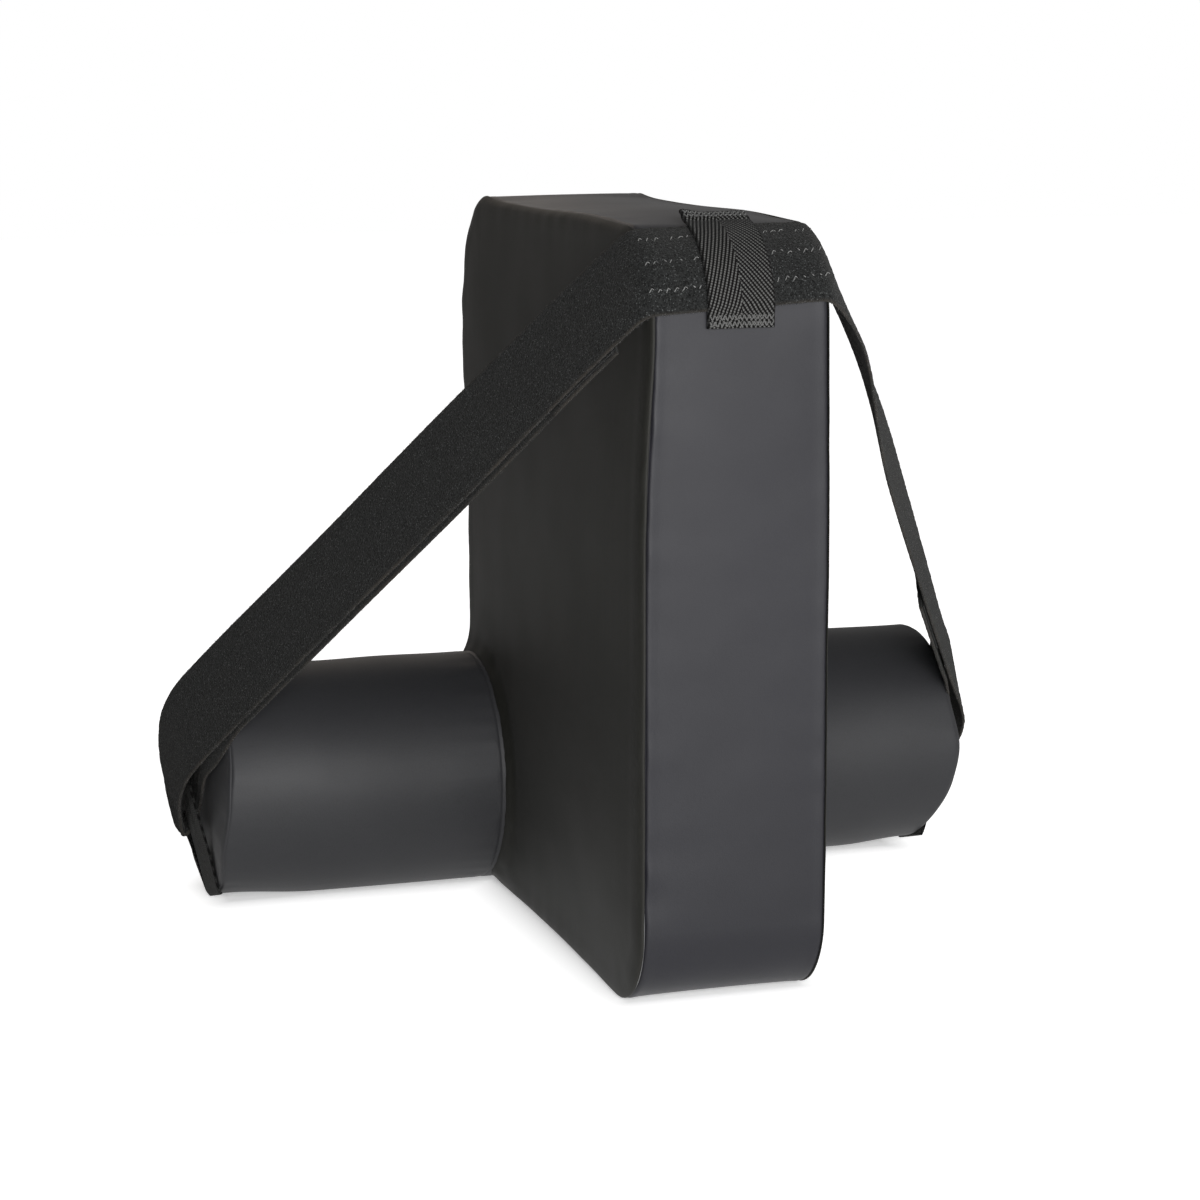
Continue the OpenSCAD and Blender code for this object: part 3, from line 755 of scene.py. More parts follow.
def panel(name, side):
    edge = np.array(PANEL_EDGE)
    n_rows, n_edge = len(ROWS), len(edge)
    inset = edge[None, :, 0] + np.zeros((n_rows, 1))
    depth = edge[:, 0]
    place = ROWS[:, None, :2] + ROWS[:, None, 2:] * (CORNER_R - inset[..., None])
    pucker = puckers(ROW_S[:, None], np.abs(depth)[None, :], side)
    x = HALF_W - SEAM_IN[side] * edge[None, :, 1] + pucker * smooth(depth, 0.2, 2.5)[None, :]
    ring = np.concatenate([x[..., None], place], -1)
    core_y, core_z = np.meshgrid(ys, zs, indexing="ij")
    core = np.stack([core_y * 0 + HALF_W, core_y, core_z], -1)
    points = np.concatenate([ring.reshape(-1, 3), core.reshape(-1, 3)])
    y, z = points[:, 1], points[:, 2]
    points[:, 0] += (flare(y, z) + flare_folds(y, z)) * smooth(outline_depth(y, z), -1, 12)
    points[:, 0] *= side
    points = settle(points, np.array([side, 0, 0]))
    faces = grid_faces(n_rows, n_edge, wrap_rows=True)
    faces += grid_faces(len(ys), len(zs), start=n_rows * n_edge)
    rest = np.concatenate([ring.reshape(-1, 3), core.reshape(-1, 3)])
    faces = [f for f in faces if keep_face(rest[list(f)].mean(0))]
    return new_mesh(name, points, faces, material=SIDE_VINYL_SHADED)


def strip_points(rows, s):
    """Boxing strip through some rows of the outline."""
    x = STRIP_COLS[None, :] + np.zeros((len(rows), 1))
    from_seam = STRIP_HALF - np.abs(x)
    inset = SEAM_DEPTH * np.exp(-(from_seam / 0.85) ** 2) - 0.25 * np.exp(-((from_seam - 3) / 2.2) ** 2)
    inset = inset - puckers(s[:, None] + 1.8, from_seam, np.sign(x)) * smooth(from_seam, 0.3, 2)
    place = rows[:, None, :2] + rows[:, None, 2:] * (CORNER_R - inset[..., None])
    wider = HALF_W - SEAM_IN[1] - STRIP_HALF
    x = x + wider * smooth(x, 20, STRIP_HALF)
    return np.concatenate([x[..., None], place], -1)


def join_dip(rows, s, at):
    """Dips a strip's end into the seam across it."""
    return SEAM_DEPTH * np.exp(-((s - at) / 0.9) ** 2)


def strip(name, first, last, low_x, high_x, dips, slot=False):
    count = len(ROWS)
    index = np.arange(first, last + 1)
    rows, s = ROWS[index % count], ROW_S[index % count] + (index // count) * (ROW_S[-1] + 2.4)
    points = strip_points(rows, s)
    outward = np.concatenate([np.zeros((len(rows), 1)), rows[:, 2:]], -1)[:, None, :]
    blown = settle(points, outward)
    if slot:
        y, z = points[..., 1], points[..., 2]
        near = smooth(np.abs(points[..., 0]), 30, 10) * smooth(z, SLOT_LOW - 40, SLOT_LOW)
        near = near * smooth(z, SLOT_HIGH + 30, SLOT_HIGH)
        blown = blown + (points - blown) * near[..., None]
    for at in dips:
        blown = blown - outward * join_dip(rows, s, ROW_S[at % count])[:, None, None]
    center = (points[:-1, :-1] + points[1:, 1:]) / 2
    cols = STRIP_COLS
    faces = []
    for face in grid_faces(len(rows), len(cols)):
        x, y, z = points.reshape(-1, 3)[list(face)].mean(0)
        if not keep_face((x, y, z)) or x < low_x or x > high_x:
            continue
        if slot and abs(x) < ZIP_X and SLOT_LOW < z < SLOT_HIGH:
            continue
        faces.append(face)
    return new_mesh(name, blown, faces, material=GUSSET_VINYL)


N_FRONT = len(zs) - 1
N_CORNER = 27
N_TOP = len(ys) - 1
JOIN = N_FRONT + int(round(40.7 / 90 * N_CORNER))
TOP_END = N_FRONT + N_CORNER + N_TOP + N_CORNER
HEEL_ROW = len(ROWS) - N_CORNER - (N_TOP - 8)

slab_parts = [
    (panel("cover_left_panel", -1), ["left_side_panel", "slab_foam"]),
    (panel("cover_right_panel", 1), ["right_side_panel"]),
    (strip("cover_front_strip", HEEL_ROW, len(ROWS) + JOIN, -60, 60, [JOIN]), ["front_gusset"]),
    (strip("cover_top_strip", JOIN, TOP_END, -60, 60, [JOIN, TOP_END]), ["top_gusset"]),
    (strip("cover_back_left", TOP_END, HEEL_ROW, -60, 0, [TOP_END], slot=True),
     ["back_gusset_left"]),
    (strip("cover_back_right", TOP_END, HEEL_ROW, 0, 60, [TOP_END], slot=True),
     ["back_gusset_right"]),
]
for part, nodes in slab_parts:
    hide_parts(*nodes)


# ---------- Roll covers ----------

def near_columns(low, high, fine_at, step, fine_step, reach):
    """Sideways places from low to high, closer together near some of them."""
    out, x = [low], low
    while x < high - fine_step / 2:
        gap = min([abs(x + fine_step / 2 - f) for f in fine_at])
        x += fine_step if gap < reach else step
        out.append(min(x, high))
    return np.array(out)


ROLL_ANGLES = np.radians(np.arange(0, 360, 2.5))
JOIN_X = HALF_W + FLARE + 1.6


END_TAPER = 3.5
CAP_PUFF = 4.0


def end_shape(side, angle):
    """How far one end of the roll sticks out, and how much thinner it is, round its rim."""
    z = ROLL_R * (1 + np.sin(angle))
    if side < 0:
        push = 2.4 * smooth(z, 112, 72) + 3.2 * np.exp(-((z - 38) / 24) ** 2)
        return push, END_TAPER + z * 0
    push = 3.8 * np.exp(-((z - 76) / 21) ** 2) - 7.0 * smooth(z, 52, 6)
    return push, 0.6 + (END_TAPER - 0.6) * smooth(z, 70, 12)


def end_push(side, r, angle):
    """Sideways shift of a place on or beside the roll's end."""
    return end_shape(side, angle)[0] * smooth(r, 15, 62)


def roll_sleeve():
    low, high = -LEFT_END, RIGHT_END
    cols = near_columns(low, high, [low, -JOIN_X, JOIN_X, high], 3.0, 0.6, 5.0)
    a, x = np.meshgrid(ROLL_ANGLES, cols, indexing="ij")
    r = ROLL_R + np.zeros_like(a)
    shift = np.zeros_like(a)
    for side, rim, dent in ((-1, low, 0.5), (1, high, 0.2)):
        away = np.abs(x - rim)
        push, taper = end_shape(side, a)
        shift += side * push * smooth(away, 70, 0)
        r -= taper * smooth(away, 58, 0)
        r -= dent * np.exp(-(away / 0.9) ** 2) + 0.9 * np.exp(-away / 1.0)
        around = np.stack([a * ROLL_R, x * 0.12, x * 0 + rim], -1)
        r += 0.5 * waves(around, 17, 11) * np.exp(-away / 10.0) * smooth(away, 0, 3)
        r += 0.10 * np.sin(a * ROLL_R * 2 * math.pi / 3.6) * np.exp(-away / 1.8)
    y = ROLL_Y + r * np.cos(a)
    z = ROLL_R + r * np.sin(a)
    on_slab = smooth(y, BACK_Y + 2, BACK_Y - 5)
    away = np.abs(np.abs(x) - JOIN_X)
    dip = 0.45 * np.exp(-(away / 0.8) ** 2) * on_slab
    around = np.stack([a * ROLL_R, np.abs(x) * 0.15, x * 0 + 200 * np.sign(x)], -1)
    fold = 0.55 * waves(around, 16, 12) * np.exp(-away / 14.0) * smooth(away, 0, 4) * on_slab
    r2 = r - dip + fold * smooth(np.abs(x), JOIN_X - 3, JOIN_X + 1)
    points = np.stack([x + shift, ROLL_Y + r2 * np.cos(a), ROLL_R + r2 * np.sin(a)], -1)
    outward = np.stack([x * 0, np.cos(a), np.sin(a)], -1)
    blown = settle(points, outward)
    # The floor stays flat under the roll.
    blown[..., 2] = np.maximum(blown[..., 2], 0.0)
    faces = []
    flat_points = points.reshape(-1, 3)
    for face in grid_faces(len(ROLL_ANGLES), len(cols), wrap_rows=True):
        px, py, pz = flat_points[list(face)].mean(0)
        if abs(px) < HALF_W - 6 and outline_depth(py, pz) > 5 and not (py > HEEL_Y - 4 and pz < 28):
            continue
        faces.append(face)
    return new_mesh("cover_roll_sleeve", blown, faces, material=ROLL_VINYL_LIT)


def roll_cap(name, side, end):
    """Flat, slightly puffed disc sewn into the end of the sleeve."""
    r = np.array([ROLL_R - 1.6, ROLL_R - 1.0, ROLL_R - 1.1, ROLL_R - 1.6, ROLL_R - 2.4,
                  ROLL_R - 3.6, ROLL_R - 5.2] + list(np.linspace(ROLL_R - 8, 3, 23)) + [0.0])
    inner = np.minimum(1, r / (ROLL_R - 5.2))
    out = CAP_PUFF * (1 - inner ** 2.4)
    out[:7] += [-1.2, -0.35, 0.25, 0.75, 1.15, 1.45, 1.6]
    out[7:] += 1.6
    a, r = np.meshgrid(ROLL_ANGLES, r, indexing="ij")
    push, taper = end_shape(side, a)
    out = out[None, :] + push * smooth(r, 15, 62)
    around = np.stack([a * ROLL_R, r * 0.2, r * 0 + end], -1)
    rim_fold = 0.45 * waves(around, 17, 13) * np.exp(-np.abs(ROLL_R - r) / 12.0)
    out = out + rim_fold * smooth(ROLL_R - r, 1.5, 6)
    r = r * (1 - taper / ROLL_R)
    points = np.stack([side * (end + out), ROLL_Y + r * np.cos(a), ROLL_R + r * np.sin(a)], -1)
    blown = settle(points, np.array([side, 0, 0.0]))
    blown[..., 2] = np.maximum(blown[..., 2], 0.0)
    faces = grid_faces(len(ROLL_ANGLES), a.shape[1], wrap_rows=True)
    return new_mesh(name, blown, faces, material=ROLL_VINYL_LIT)


sleeve = roll_sleeve()
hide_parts("roll_sleeve", "roll_foam")
for cap, node in ((roll_cap("cover_roll_left_cap", -1, LEFT_END), "roll_left_cap"),
                  (roll_cap("cover_roll_right_cap", 1, RIGHT_END), "roll_right_cap")):
    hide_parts(node)


# ---------- Ribbons ----------

def ribbon_rows(stations, start, stop, spacing, cols):
    """Mid-surface of a ribbon: rows about spacing millimetres apart, closer where it bends."""
    centres = [st[0] for st in stations]
    dense = np.linspace(start, stop, int((stop - start) * 60) + 2)
    path = np.array([spline_at(centres, u) for u in dense])
    step = np.diff(path, axis=0)
    length = np.linalg.norm(step, axis=1)
    way = step / np.maximum(length[:, None], 1e-9)
    turn = np.degrees(np.arccos(np.clip((way[1:] * way[:-1]).sum(1), -1, 1)))
    cost = length + np.concatenate([[0], turn]) * 0.10
    place = np.concatenate([[0], np.cumsum(cost)])
    count = max(3, int(place[-1] / spacing))
    us = np.interp(np.linspace(0, place[-1], count + 1), place, dense)
    rows, widths = [], []
    for u in us:
        c = spline_at(centres, u)
        w = unit(spline_at([st[1] for st in stations], u))
        width = float(spline_at([st[2] for st in stations], u))
        bow = max(0.0, float(spline_at([st[3] for st in stations], u)))
        m = unit(spline_at([st[4] for st in stations], u))
        rows.append([c + w * v * width / 2 + m * bow * (1 - v * v) for v in cols])
        widths.append(width)
    return np.array(rows), np.array(widths)


def edge_columns(width, thickness, spacing):
    """Places across a ribbon from -1 to 1, with close ones to round its edges."""
    round_off = thickness * 0.6
    near = [0, 0.08, 0.3, 0.65, 1.0]
    low = [-1 + 2 * k * round_off / width for k in near]
    inner = np.linspace(low[-1], -low[-1], int(width / spacing) + 1)[1:-1]
    return np.array(low + list(inner) + [-v for v in low[::-1]])


def shell(name, rows, cols, width, thickness, material, body="shield", rough=0.0, seed=1,
          normals=None):
    """Closed, round-edged ribbon about a mid-surface. rough is the pile's unevenness."""
    rows = np.asarray(rows)
    normal = row_normals(rows) if normals is None else normals
    edge = (1 - np.abs(cols)) * width / 2
    round_off = 0.6 * np.max(thickness)
    full = np.sqrt(1 - (1 - np.clip(edge / round_off, 0, 1)) ** 2)
    half = np.atleast_1d(thickness)[:, None] / 2 * full[None, :] + np.zeros(rows.shape[:2])
    lift = rough * (waves(rows, 2.6, seed) + 0.8 * waves(rows, 6.5, seed + 1))
    drop = rough * waves(rows + 50, 2.6, seed + 2)
    top = rows + normal * (half * (1 + 0) + lift * full)[..., None]
    low = rows - normal * (half + drop * full)[..., None]
    n, m = rows.shape[:2]
    along = np.concatenate([[0], np.cumsum(np.linalg.norm(
        np.diff(rows[:, m // 2], axis=0), axis=1))])
    uv = np.stack(np.broadcast_arrays(cols[None, :] * width / 2, along[:, None]), -1)
    faces = grid_faces(n, m)
    faces += [f[::-1] for f in grid_faces(n, m, start=n * m)]
    for j in range(m - 1):
        faces.append((j + 1, j, n * m + j, n * m + j + 1))
        k = (n - 1) * m
        faces.append((k + j, k + j + 1, n * m + k + j + 1, n * m + k + j))
    for i in range(n - 1):
        a, b = i * m, (i + 1) * m
        faces.append((a, b, n * m + b, n * m + a))
        faces.append((b + m - 1, a + m - 1, n * m + a + m - 1, n * m + b + m - 1))
    points = np.concatenate([top.reshape(-1, 3), low.reshape(-1, 3)])
    return new_mesh(name, points, faces, uvs=np.concatenate([uv.reshape(-1, 2)] * 2),
                    material=material, body=body)


# ---------- Loop strap ----------

PILE = 0.16
strap_cols = edge_columns(STRAP_W, STRAP_T, 2.0)


def mirror(rows, side):
    return rows * np.array([side, 1, 1])


def gathered(rows, widths):
    """Pleats where the strap is drawn together to pass through its anchor."""
    squeeze = np.clip(1 - widths / STRAP_W, 0, 1)
    normal = row_normals(rows)
    amount = 1.25 * squeeze[:, None] ** 0.8 * np.cos(strap_cols * math.pi * 4.5)[None, :]
    return rows + normal * amount[..., None]


def leg_rows(stations, first, last):
    rows, widths = ribbon_rows(stations, first, last, 2.2, strap_cols)
    return gathered(rows, widths)


def centre_rows():
    rows = []
    for x in np.linspace(-STRAP_X, STRAP_X, 49)[1:-1]:
        slant = STRAP_SLANT * x / (2 * HALF_W)
        middle, half = (STRAP_LOW + STRAP_HIGH) / 2, (STRAP_HIGH - STRAP_LOW) / 2
        rows.append([corner_point(middle + slant + half * v, STRAP_R, x) for v in strap_cols])
    return np.array(rows)


def relaxed(rows, start, stop, times):
    """Smooths some rows of a ribbon along its length."""
    rows = rows.copy()
    for _ in range(times):
        rows[start:stop] = (rows[start - 1:stop - 1] + 2 * rows[start:stop]
                            + rows[start + 1:stop + 1]) / 4
    return rows


def outer_leg(s):
    """Rows of a leg from the slab's edge to the bottom of its fold."""
    stations = outer_stations(s) + fold_stations(s)
    return mirror(leg_rows(stations, 0, FOLD_BOTTOM), s["side"])


def returned_leg(s):
    """Stations of the ribbon from the bottom of its fold to its free end."""
    u = np.linspace(4, s["stop"], 3 + int(round((4 - s["stop"]) / 0.3)))
    return outer_stations(s)[-1:] + fold_stations(s) + [return_station(s, k) for k in u]


FOLD_BOTTOM = 9
left_rows, right_rows = outer_leg(SIDES["left"])[::-1], outer_leg(SIDES["right"])
middle_rows = centre_rows()
strap_rows = np.concatenate([left_rows, middle_rows, right_rows])
for at in (len(left_rows), len(left_rows) + len(middle_rows)):
    strap_rows = relaxed(strap_rows, at - 5, at + 5, 12)
strap = shell("loop_strap", strap_rows, strap_cols, STRAP_W, STRAP_T, LOOP_STRAP,
              rough=PILE, seed=21)
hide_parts("strap_centre", "strap_left_leg", "strap_right_leg")

hook_cols = edge_columns(STRAP_W - 3, HOOK_T, 2.0)
returned_rows = {}


def bend_with_end(obj, s):
    """Unparents a piece and bakes its place into its points."""
    u = peel_start(s)
    obj.parent = None
    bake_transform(obj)


for label, s in SIDES.items():
    stations = returned_leg(s)
    rows = mirror(leg_rows(stations, 1, len(stations) - 1), s["side"])
    returned_rows[label] = rows
    end = shell(f"loop_{label}_end", rows, strap_cols, STRAP_W, STRAP_T, LOOP_STRAP,
                rough=PILE, seed=31)
    bend_with_end(end, s)
    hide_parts(f"strap_{label}_end")
    hook_stations = [(c, w, width - 3, b, m) for c, w, width, b, m in peel_stations(s)]
    rows, _ = ribbon_rows(hook_stations, 0.1, 2.9, 2.2, hook_cols)
    rows = mirror(rows + row_normals(rows) * (HOOK_OFF - RETURN_GAP), s["side"])
    hook = shell(f"hook_{label}_patch", rows, hook_cols, STRAP_W - 3, HOOK_T, HOOK_TAPE,
                 rough=0.05, seed=41)
    bend_with_end(hook, s)
    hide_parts(f"{label}_hook_patch")


# ---------- Loose loops along the strap's edges ----------

def edge_loops(name, rows, count, seed):
    """Small fibres that stand out of both edges of a ribbon and out of its face."""
    rng = np.random.RandomState(seed)
    normal = row_normals(rows)
    points, faces = [], []
    last = len(rows) - 1
    for _ in range(count):
        t = rng.uniform(0, last - 0.001)
        i, f = int(t), t % 1
        on_face = rng.uniform() < 0.35
        c = rng.uniform(-0.985, 0.985) if on_face else rng.choice([-1.0, 1.0])
        row = rows[i] * (1 - f) + rows[i + 1] * f
        at = np.array([np.interp(c, strap_cols, row[:, k]) for k in range(3)])
        n = unit(normal[i].mean(0)) * (OUTER_FACE if on_face else rng.choice([-1, 1]))
        along = unit(rows[i + 1].mean(0) - rows[i].mean(0))
        side = unit(row[-1] - row[0]) * np.sign(c)
        lean = rng.normal(size=3) * 0.35
        out = unit(n + lean) if on_face else unit(side + n * rng.uniform(-0.5, 0.9) + lean)
        base = at + (n * STRAP_T * 0.46 if on_face else n * rng.uniform(0, 0.5) - side * 0.25)
        reach = rng.uniform(0.35, 0.9) * (0.55 if on_face else 1.0)
        spread = along * rng.uniform(-0.6, 0.6)
        path = [base, base + out * reach * 0.7 + spread * 0.3,
                base + out * reach + spread * 0.8, base + out * reach * 0.55 + spread * 1.5]
        across = unit(np.cross(out, along))
        first = len(points)
        for k, p in enumerate(path):
            size = FIBRE_R * (1.0, 1.0, 0.9, 0.5)[k]
            for angle in (0.0, 2.1, 4.2):
                points.append(p + (across * math.cos(angle) + out * math.sin(angle)) * size)
        for k in range(3):
            for m in range(3):
                q = (m + 1) % 3
                faces.append((first + 3 * k + m, first + 3 * k + q,
                              first + 3 * k + 3 + q, first + 3 * k + 3 + m))
        faces.append((first + 2, first + 1, first))
        faces.append((first + 9, first + 10, first + 11))
    obj = new_mesh(name, points, faces, material=LOOSE_LOOPS)
    return obj


FIBRE_R = 0.11
OUTER_FACE = 1
edge_loops("loop_strap_fibres", strap_rows, 5200, 81)
for label, s in SIDES.items():
    fibres = edge_loops(f"loop_{label}_fibres", returned_rows[label], 1300, 82)
    bend_with_end(fibres, s)


# ---------- Threads ----------

def capsule(points, faces, start, end, radius, lift=(0, 0, 0), sides=6):
    """Adds one short thread, a bent capsule from start to end, to lists of points and faces."""
    start, end, lift = (np.asarray(v, float) for v in (start, end, lift))
    way = unit(end - start)
    side = unit(np.cross(way, [0.31, 0.27, 0.91]))
    up = np.cross(way, side)
    rings = [(-0.02, 0.35), (0.06, 0.8), (0.2, 1.0), (0.5, 1.05), (0.8, 1.0), (0.94, 0.8),
             (1.02, 0.35)]
    base = len(points)
    for t, size in rings:
        c = start + (end - start) * t + lift * (1 - (2 * t - 1) ** 2)
        for k in range(sides):
            a = 2 * math.pi * k / sides
            points.append(c + (side * math.cos(a) + up * math.sin(a)) * radius * size)
    for i in range(len(rings) - 1):
        for k in range(sides):
            n = (k + 1) % sides
            faces.append((base + i * sides + k, base + i * sides + n,
                          base + (i + 1) * sides + n, base + (i + 1) * sides + k))
    faces.append(tuple(base + k for k in range(sides))[::-1])
    faces.append(tuple(base + (len(rings) - 1) * sides + k for k in range(sides)))


def corner_out(angle):
    a = math.radians(angle)
    return np.array([0, -math.cos(a), math.sin(a)])


points, faces = [], []
STITCH_ROWS, STITCH_PITCH = (22, 41, 61), 4.6
stitch_places = np.random.RandomState(91)
for row in STITCH_ROWS:
    for side in (-1, 1):
        x = WEB_W / 2 + 3
        while x < HALF_W - 1:
            angle = row + STRAP_SLANT * side * x / (2 * HALF_W) + side * 0.02 * (x - 20)
            angle += stitch_places.normal() * 0.35
            r = STRAP_R + STRAP_T / 2 + 0.05
            tilt, run = stitch_places.uniform(0.9, 1.7), stitch_places.uniform(0.5, 1.1)
            if stitch_places.uniform() < 0.85:
                capsule(points, faces, corner_point(angle - tilt, r, side * x - run),
                        corner_point(angle + tilt, r, side * x + run), 0.21,
                        corner_out(angle) * 0.3)
            if stitch_places.uniform() < 0.7:
                capsule(points, faces, corner_point(angle + tilt, r, side * x + run),
                        corner_point(angle + tilt * 0.2, r, side * x + run + 1.1), 0.19,
                        corner_out(angle) * 0.2)
            x += STITCH_PITCH
threads = new_mesh("thread_strap_rows", points, faces, material=GREY_THREAD)
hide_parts("strap_stitches")


# ---------- Keeper ----------

KEEPER_TOP = 90.5
KEEPER_FLAT = 5.2
hem_low_z = CORE_HIGH - KEEPER_FLAT
keeper_cols = edge_columns(WEB_W, WEB_T, 1.2)


def keeper_place(v):
    """Place on the slab's surface v millimetres up from the keeper's low end."""
    if v < KEEPER_FLAT:
        return np.array([FRONT_Y, hem_low_z + v]), np.array([-1.0, 0.0])
    a = (v - KEEPER_FLAT) / (CORNER_R + 3)
    return (np.array([FRONT_Y + CORNER_R - CORNER_R * math.cos(a),
                      CORE_HIGH + CORNER_R * math.sin(a)]),
            np.array([-math.cos(a), math.sin(a)]))


keeper_len = KEEPER_FLAT + math.radians(KEEPER_TOP) * (CORNER_R + 3)
rows, thick = [], []
HEM = 9.0
for v in np.linspace(0, keeper_len, 110):
    (y, z), out = keeper_place(v)
    on_strap = smooth(v, 7, 13)
    height = 1.25 + 2.0 * on_strap
    left = keeper_len - v
    height += 1.0 * smooth(left, HEM + 2, HEM - 2) + 1.2 * smooth(left, 7, 0)
    row = []
    for c in keeper_cols:
        side_lift = 0.9 * smooth(left, 9, 0) * smooth(-c, 0.2, 1.0) * 2
        sag = 0.35 * math.cos(c * 2.2 + v * 0.05) * on_strap
        h = height + side_lift + sag * 0.5
        row.append([c * WEB_W / 2 - 1.0 * smooth(left, 8, 0) * (c < 0) * -c * -1, y + out[0] * h,
                    z + out[1] * h])
    rows.append(row)
    thick.append(WEB_T + 1.5 * max(smooth(v, HEM + 0.8, HEM - 0.2), smooth(left, HEM + 0.8, HEM - 0.2)))
keeper_rows = np.array(rows)
keeper = shell("webbing_keeper", keeper_rows, keeper_cols, WEB_W, np.array(thick), WEBBING,
               rough=0.03, seed=51, normals=-row_normals(keeper_rows))
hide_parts("keeper")

points, faces = [], []


def on_keeper(v, c):
    """Place on the keeper's outer face and the way it faces."""
    i = np.clip(v / keeper_len * (len(keeper_rows) - 1), 0, len(keeper_rows) - 1.001)
    k = int(i)
    column = keeper_rows[:, :, :][k] * (1 - (i - k)) + keeper_rows[k + 1] * (i - k)
    at = np.array([np.interp(c, keeper_cols, column[:, j]) for j in range(3)])
    _, out = keeper_place(v)
    out = np.array([0, out[0], out[1]])
    t = thick[k] / 2
    return at + out * (t + 0.1), out


for low, high in ((1.0, 3.6), (4.4, 7.0)):
    for base in (0, keeper_len - HEM - 0.2):
        count = 26
        for k in range(count):
            c0 = -0.94 + 1.88 * k / count
            c1 = -0.94 + 1.88 * (k + 1) / count
            up = (low, high) if k % 2 else (high, low)
            a, out = on_keeper(base + up[0], c0)
            b, _ = on_keeper(base + up[1], c1)
            capsule(points, faces, a - out * 0.12, b - out * 0.12, 0.30, out * 0.28)
hem_threads = new_mesh("thread_keeper_hems", points, faces, material=HEM_THREAD)
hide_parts("keeper_stitches")


# ---------- Anchors ----------

def anchor_stations(s):
    def at(r, a, out):
        a = math.radians(a)
        push = end_push(s["side"], r, math.atan2(-math.cos(a), -math.sin(a)))
        return np.array([s["end"] + out + push, ROLL_Y - r * math.sin(a),
                         ROLL_R - r * math.cos(a)])

    def half(way):
        return [
            flat(at(ROLL_R - 2.5, way * 16.5, 0.2), [0, way * 0.96, -0.28], WEB_W),
            flat(at(ROLL_R - 7, way * 17, 2.6), [0, way * 0.96, -0.29], WEB_W),
            flat(at(47, way * 25, 7.5), [0, way * 0.9, -0.44], 0.9 * WEB_W),
            flat(at(27, way * 50, 15.6), [0, way * 0.6, -0.8], 0.66 * WEB_W),
        ]

    apex = flat(at(4.5, 0, 17.2), [0, 0, -1], 0.66 * WEB_W)
    return half(1) + [apex] + half(-1)[::-1]


anchor_cols = edge_columns(WEB_W, WEB_T, 1.4)
for label, s in SIDES.items():
    stations = anchor_stations(s)
    rows, widths = ribbon_rows(stations, 0, len(stations) - 1, 1.4, anchor_cols)
    squeeze = np.clip(1 - widths / WEB_W, 0, 1)[:, None]
    rows = rows + row_normals(rows) * (0.8 * squeeze * np.cos(anchor_cols * 7.5)[None, :])[..., None]
    rows = mirror(rows, s["side"])
    anchor = shell(f"webbing_{label}_anchor", rows, anchor_cols, WEB_W, WEB_T, WEBBING,
                   rough=0.03, seed=61)
    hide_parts(f"{label}_anchor")


# ---------- Zip ----------

tape_low, tape_high = box_mm("zip_tapes")
TAPE_W = 14.0
tape_cols = edge_columns(TAPE_W, 0.8, 1.0)
for label, side in (("left", -1), ("right", 1)):
    inner = 5.4 / 2 + 0.15
    rows = []
    for z in np.linspace(tape_low[2], tape_high[2], 120):
        row = []
        for c in tape_cols:
            x = side * (inner + TAPE_W / 2 + c * TAPE_W / 2)
            dip = 0.25 * math.sin(z * 0.09 + side) * (0.5 + 0.5 * c)
            row.append([x, (tape_low[1] + tape_high[1]) / 2 - 0.15 + dip * 0.5, z])
        rows.append(row)
    tape = shell(f"zip_{label}_tape", np.array(rows), tape_cols, TAPE_W, 0.8, ZIP_TAPE,
                 rough=0.03, seed=71)
    if side < 0:
        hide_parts("zip_tapes")

for label, side in (("left", -1), ("right", 1)):
    rows = []
    lip = [(ZIP_X + 0.25, 0.1), (ZIP_X - 0.35, 0.12), (ZIP_X - 0.8, -0.15), (ZIP_X - 0.95, -0.6),
           (ZIP_X - 0.7, -1.0), (ZIP_X + 0.2, -1.15)]
    for z in np.linspace(SLOT_LOW - 0.5, SLOT_HIGH + 0.5, 120):
        wobble = 0.12 * math.sin(z * 2 * math.pi / 3.6) + 0.15 * math.sin(z * 0.21 + side)
        rows.append([[side * (x + wobble * 0.5), BACK_Y + d, z] for x, d in lip])
    fold = new_mesh(f"cover_zip_{label}_fold", np.array(rows), grid_faces(120, len(lip)),
                    material=GUSSET_VINYL)

points, faces = [], []
for side in (-1, 1):
    for x in (ZIP_X + 2.2,):
        z = SLOT_LOW
        while z < SLOT_HIGH - 3:
            place = np.array([side * x, BACK_Y + 0.12, z])
            capsule(points, faces, place, place + [0, 0, 2.7], 0.24, (0, 0.12, 0))
            z += 3.6
seam_threads = new_mesh("thread_zip_rows", points, faces, material=DARK_THREAD)

for node, finish in (("zip_coil", ZIP_COIL), ("zip_stops", ZIP_METAL), ("zip_slider", ZIP_METAL),
                     ("zip_pull", ZIP_METAL), ("slab_foam", FOAM), ("roll_foam", FOAM)):
    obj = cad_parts[node]
    obj.data.materials.clear()
    obj.data.materials.append(finish)
for node, width in (("zip_slider", 0.25), ("zip_pull", 0.3), ("zip_stops", 0.3)):
    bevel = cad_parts[node].modifiers.new("Bevel", "BEVEL")
    bevel.width = width * MM
    bevel.segments = 2
    bevel.limit_method = "ANGLE"


# ---------- Stage, light and camera ----------

bpy.context.scene.view_settings.view_transform = "Standard"


